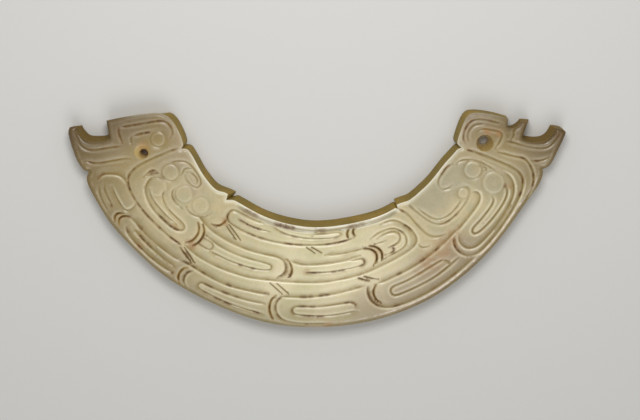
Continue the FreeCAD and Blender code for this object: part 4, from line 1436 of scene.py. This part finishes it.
for mask_name, values in masks.items():
    layer = mesh.attributes.new(mask_name, "FLOAT", "POINT")
    layer.data.foreach_set("value", np.clip(values, 0, 1).astype(np.float32))
print("Masks:", list(masks))

# %% [markdown]
# Old jade is waxy and lets light in a little way. The middle of the arc is cream, partly the
# stone's own colour and partly painted light; the heads are darker, partly painted shade, and
# darker still at their tips; the walls are olive, partly the stone's tint where it thins out and
# partly painted shade. A painter would lay these colours over each other as glazes, and so does
# the material: from the body of the stone to patches, the outer band, the slopes of the cuts with
# painted shade deep in them and painted highlights on their raised edges, the rims with a painted
# highlight on the concave one and partly painted shade on the convex one, the walls and bores,
# and last the stains and residue.

# %% Colours of the jade
def shown(red, green, blue):
    """A colour as it is seen on a screen, from 0 to 255, as the linear one a shader needs."""
    linear = []
    for part in (red, green, blue):
        part /= 255
        linear.append(part / 12.92 if part <= 0.04045 else ((part + 0.055) / 1.055) ** 2.4)
    return (*linear, 1)


jade_colours = {
    # Cream and celadon for the middle: partly the stone's colour, partly painted light.
    "cream": shown(231, 219, 181),
    "celadon": shown(214, 205, 163),
    "face": shown(204, 188, 146),
    "face_grey": shown(190, 180, 142),
    # The heads' colours: partly the stone's own, partly painted shade.
    "head": shown(158, 138, 92),
    "head_lilac": shown(156, 139, 104),
    "tip": shown(84, 62, 30),
    "lilac": shown(170, 151, 128),
    "grey": shown(168, 161, 137),
    # Olive and honey for the walls: partly the stone's tint, partly painted shade.
    "olive": shown(134, 112, 38),
    "honey": shown(156, 126, 46),
    # Olive of the outer band; on the convex bevel it is partly painted shade.
    "outer_olive": shown(110, 88, 36),
    # Painted shade for the walls of the mouth notches.
    "painted_notch_shade": shown(112, 84, 6),
    # Painted highlight on the concave bevel.
    "painted_rim_highlight": shown(255, 250, 230),
    # Painted highlight along the raised edges of the cuts.
    "painted_ridge_highlight": shown(252, 244, 212),
    # Darker deep in the cuts: partly the stone's tint, partly painted shade.
    "groove": shown(158, 138, 84),
    "line": shown(136, 106, 28),
    "collar": shown(174, 142, 70),
    "residue": shown(82, 54, 0),
    "scratch": shown(114, 84, 8),
    # Painted highlight just inside the convex bevel.
    "painted_crest_highlight": shown(246, 230, 216),
    "iron": shown(172, 120, 64),
    "bore": shown(188, 164, 106),
    # Painted light for the deep part of the left bore.
    "throat": shown(240, 208, 150),
    "channel": shown(140, 132, 104),
}
print(len(jade_colours), "colours")

# %% Helpers for the material
jade = bpy.data.materials.new("polished_jade")
jade.use_nodes = True
nodes = jade.node_tree.nodes
links = jade.node_tree.links
surface = nodes["Principled BSDF"]
object_place = nodes.new("ShaderNodeTexCoord").outputs["Object"]


def mask(mask_name):
    """A mask of the vertices as a number."""
    node = nodes.new("ShaderNodeAttribute")
    node.attribute_name = mask_name
    return node.outputs["Fac"]


def clouds(size, detail, roughness=0.5, distortion=0.0):
    """Soft clouds in the stone, of a size in metres."""
    node = nodes.new("ShaderNodeTexNoise")
    node.inputs["Scale"].default_value = 1 / size
    node.inputs["Detail"].default_value = detail
    node.inputs["Roughness"].default_value = roughness
    node.inputs["Distortion"].default_value = distortion
    links.new(object_place, node.inputs["Vector"])
    return node.outputs["Fac"]


def spread(value, low, high, new_low=0.0, new_high=1.0):
    """A number carried from one range to another, clamped."""
    node = nodes.new("ShaderNodeMapRange")
    node.interpolation_type = "SMOOTHSTEP"
    links.new(value, node.inputs["Value"])
    node.inputs["From Min"].default_value = low
    node.inputs["From Max"].default_value = high
    node.inputs["To Min"].default_value = new_low
    node.inputs["To Max"].default_value = new_high
    return node.outputs["Result"]


def calculate(operation, first, second):
    """Two numbers put together; either may be a plain number."""
    node = nodes.new("ShaderNodeMath")
    node.operation = operation
    for socket, value in zip(node.inputs, (first, second)):
        if isinstance(value, (int, float)):
            socket.default_value = value
        else:
            links.new(value, socket)
    return node.outputs["Value"]


def mix(first, second, amount):
    """Two colours mixed; each is a colour's name or a mixed colour."""
    node = nodes.new("ShaderNodeMix")
    node.data_type = "RGBA"
    links.new(amount, node.inputs["Factor"])
    for socket, colour in ((node.inputs[6], first), (node.inputs[7], second)):
        if isinstance(colour, str):
            socket.default_value = jade_colours[colour]
        else:
            links.new(colour, socket)
    return node.outputs[2]


def part_of(mask_name, amount):
    """A mask times an amount, which may be a number or clouds."""
    return calculate("MULTIPLY", mask(mask_name), amount)


print("Helpers for", jade.name)

# %% [markdown]
# The body of the stone comes first: pale and grey clouds in the faces, cream and celadon in the
# middle, partly painted light, and darker clouds in the heads, partly painted shade.

# %% The body of the stone
big_clouds = spread(clouds(0.016, 3, 0.55, 0.4), 0.38, 0.62)
small_clouds = spread(clouds(0.0035, 4, 0.6), 0.35, 0.68)
body = mix("face", "face_grey", small_clouds)
bright = mix("celadon", "cream", big_clouds)
heads = mix("head", "head_lilac", big_clouds)
# The cream middle is partly painted light, and the darker heads partly painted shade.
stone = mix(body, bright, spread(mask("middle"), 0.1, 0.8))
stone = mix(stone, heads, spread(mask("head"), 0, 1))
# Olive walls: partly the stone's tint where it thins out, partly painted shade.
wall_colour_and_shade = mix("olive", "honey", spread(clouds(0.006, 3), 0.4, 0.75))
print("The body has", len(nodes), "nodes")

# %% [markdown]
# Then each mask lays its colour over the stone, one after the other, as strongly as its amount
# says. The amounts of the painted highlights inside the convex bevel, stains, lines and residue are
# clouds, which leave them in patches.

# %% The colours over it
crest_highlight_patches = spread(clouds(0.0012, 4, 0.65), 0.38, 0.58, 0.15, 0.85)
iron_patches = spread(clouds(0.0018, 4), 0.4, 0.65, 0.25, 0.85)
line_patches = spread(clouds(0.0038, 4, 0.6), 0.38, 0.64, 0.04, 0.6)
collar_patches = spread(clouds(0.0016, 3, 0.6), 0.4, 0.62, 0.1, 0.6)
residue_patches = spread(clouds(0.0009, 4, 0.65), 0.34, 0.6, 0.4, 1.0)
# How strong the painted highlight on the concave bevel is: weaker on the heads.
rim_highlight_amount = spread(mask("head"), 0.3, 0.9, 0.95, 0.35)
dark = part_of("residue", residue_patches)
layers = [
    ("lilac", part_of("lilac", 0.75)),
    ("grey", part_of("grey", 0.75)),
    ("outer_olive", part_of("outer", 0.5)),
    ("channel", part_of("channel", 0.7)),
    # Painted highlight along the raised edges of the cuts.
    ("painted_ridge_highlight", part_of("painted_ridge_highlight", 0.7)),
    # Darker deep in the cuts: partly the stone's tint, partly painted shade.
    ("groove", calculate("MULTIPLY", spread(mask("groove"), 0.1, 0.9), 0.4)),
    ("collar", part_of("collar_tint", 0.6)),
    # Olive on the convex bevel: partly the stone's tint, partly painted shade.
    ("outer_olive", part_of("outer_rim_tint_and_shade", 0.4)),
    # Painted highlight just inside the convex bevel, in patches.
    ("painted_crest_highlight", part_of("painted_crest_highlight", crest_highlight_patches)),
    # Painted highlight on the concave bevel, weaker on the heads.
    ("painted_rim_highlight", part_of("inner_rim_highlight", rim_highlight_amount)),
    ("tip", part_of("tip", 0.72)),
    # Olive walls: partly the stone's tint, partly painted shade.
    (wall_colour_and_shade, mask("wall")),
    # Painted shade on the walls of the mouth notches.
    ("painted_notch_shade", part_of("painted_notch_shade", 0.8)),
    ("bore", mask("bore")),
    # Painted light deep in the left bore, where it would lie in shade.
    ("throat", part_of("throat", 0.6)),
    ("iron", part_of("iron", iron_patches)),
    ("iron", part_of("stain", 0.32)),
    ("line", part_of("line", line_patches)),
    ("residue", part_of("collar", collar_patches)),
    ("scratch", part_of("fine_line", 0.9)),
    ("residue", dark),
]
for colour, amount in layers:
    stone = mix(stone, colour, amount)
print(len(layers), "colours laid over the stone")

# %% [markdown]
# The polish is uneven, and duller on the walls and where residue sits. Light goes about a
# millimetre into the stone. A faint bump keeps the reflections from being too clean.

# %% Polish and light in the stone
residue_dullness, wall_dullness = 0.35, 0.42
links.new(stone, surface.inputs["Base Color"])
polish = spread(clouds(0.0022, 5, 0.6), 0.3, 0.75, 0.24, 0.34)
dull_residue = calculate("MULTIPLY", dark, residue_dullness)
dull = calculate("MAXIMUM", dull_residue, part_of("wall", wall_dullness))
links.new(calculate("ADD", polish, dull), surface.inputs["Roughness"])
surface.inputs["IOR"].default_value = 1.5
surface.inputs["Subsurface Weight"].default_value = 0.35
surface.inputs["Subsurface Radius"].default_value = (1.0, 0.85, 0.5)
surface.inputs["Subsurface Scale"].default_value = 0.0012
bump = nodes.new("ShaderNodeBump")
bump.inputs["Strength"].default_value = 0.25
bump.inputs["Distance"].default_value = 0.00004
links.new(clouds(0.0006, 5, 0.6), bump.inputs["Height"])
links.new(bump.outputs["Normal"], surface.inputs["Normal"])
mesh.materials.append(jade)
print("Jade of", len(nodes), "nodes")

# %% The pendant takes the stone's place
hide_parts("carved_arc_plaque")
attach(pendant, "root")
print(pendant.name, "stands for carved_arc_plaque")

# %% [markdown]
# The stage is a plain pale floor. A small soft light hangs near, above the centre of the arc: it
# brightens the edges that face the centre and leaves those that face away in shade, which brings
# out the carving. A wide soft light from the front and the pale world open the shadows.

# %% Floor
floor_size = 3.0
bpy.ops.object.select_all(action="DESELECT")
bpy.ops.mesh.primitive_plane_add(size=floor_size, location=(0, 0, 0))
floor = bpy.context.active_object
floor.name = "floor"
floor_paint = bpy.data.materials.new("floor_paint")
floor_paint.use_nodes = True
floor_surface = floor_paint.node_tree.nodes["Principled BSDF"]
floor_surface.inputs["Base Color"].default_value = shown(216, 215, 211)
floor_surface.inputs["Roughness"].default_value = 0.9
floor.data.materials.append(floor_paint)
print("Floor of", floor_size, "m")

# %% Lights
def soft_light(light_name, position, size, power):
    """A square area light that faces the middle of the stone."""
    data = bpy.data.lights.new(light_name, "AREA")
    data.size = size
    data.energy = power
    light = bpy.data.objects.new(light_name, data)
    light.location = position
    light.rotation_euler = (-Vector(position)).to_track_quat("-Z", "Y").to_euler()
    bpy.context.scene.collection.objects.link(light)


soft_light("key_light", (0, 0.135, 0.25), size=0.1, power=0.37)
soft_light("fill_light", (0.2, -1.2, 1.9), size=1.5, power=11.4)
world = bpy.data.worlds.new("studio")
world.use_nodes = True
sky = world.node_tree.nodes["Background"]
sky.inputs["Color"].default_value = (1, 1, 1, 1)
sky.inputs["Strength"].default_value = 0.35
bpy.context.scene.world = world
bpy.context.scene.view_settings.view_transform = "Standard"
print("Two lights and a pale world")

# %% [markdown]
# The camera looks down on the face from a long way off, raised a little towards the heads, so that
# the leaning concave wall shows above the face's edge.

# %% Camera
look_at = Vector((0.0006785, 0.0028654, 0.006))
camera_distance = 0.413
camera_raise = math.radians(11.5)
camera_data = bpy.data.cameras.new("camera")
camera_data.lens = 96.98
camera_data.sensor_width = 36
camera = bpy.data.objects.new("camera", camera_data)
toward = Vector((0, math.sin(camera_raise), math.cos(camera_raise)))
camera.location = look_at + camera_distance * toward
camera.rotation_euler = (-camera_raise, 0, 0)
bpy.context.scene.collection.objects.link(camera)
bpy.context.scene.camera = camera
print("Camera at", [round(part, 3) for part in camera.location])
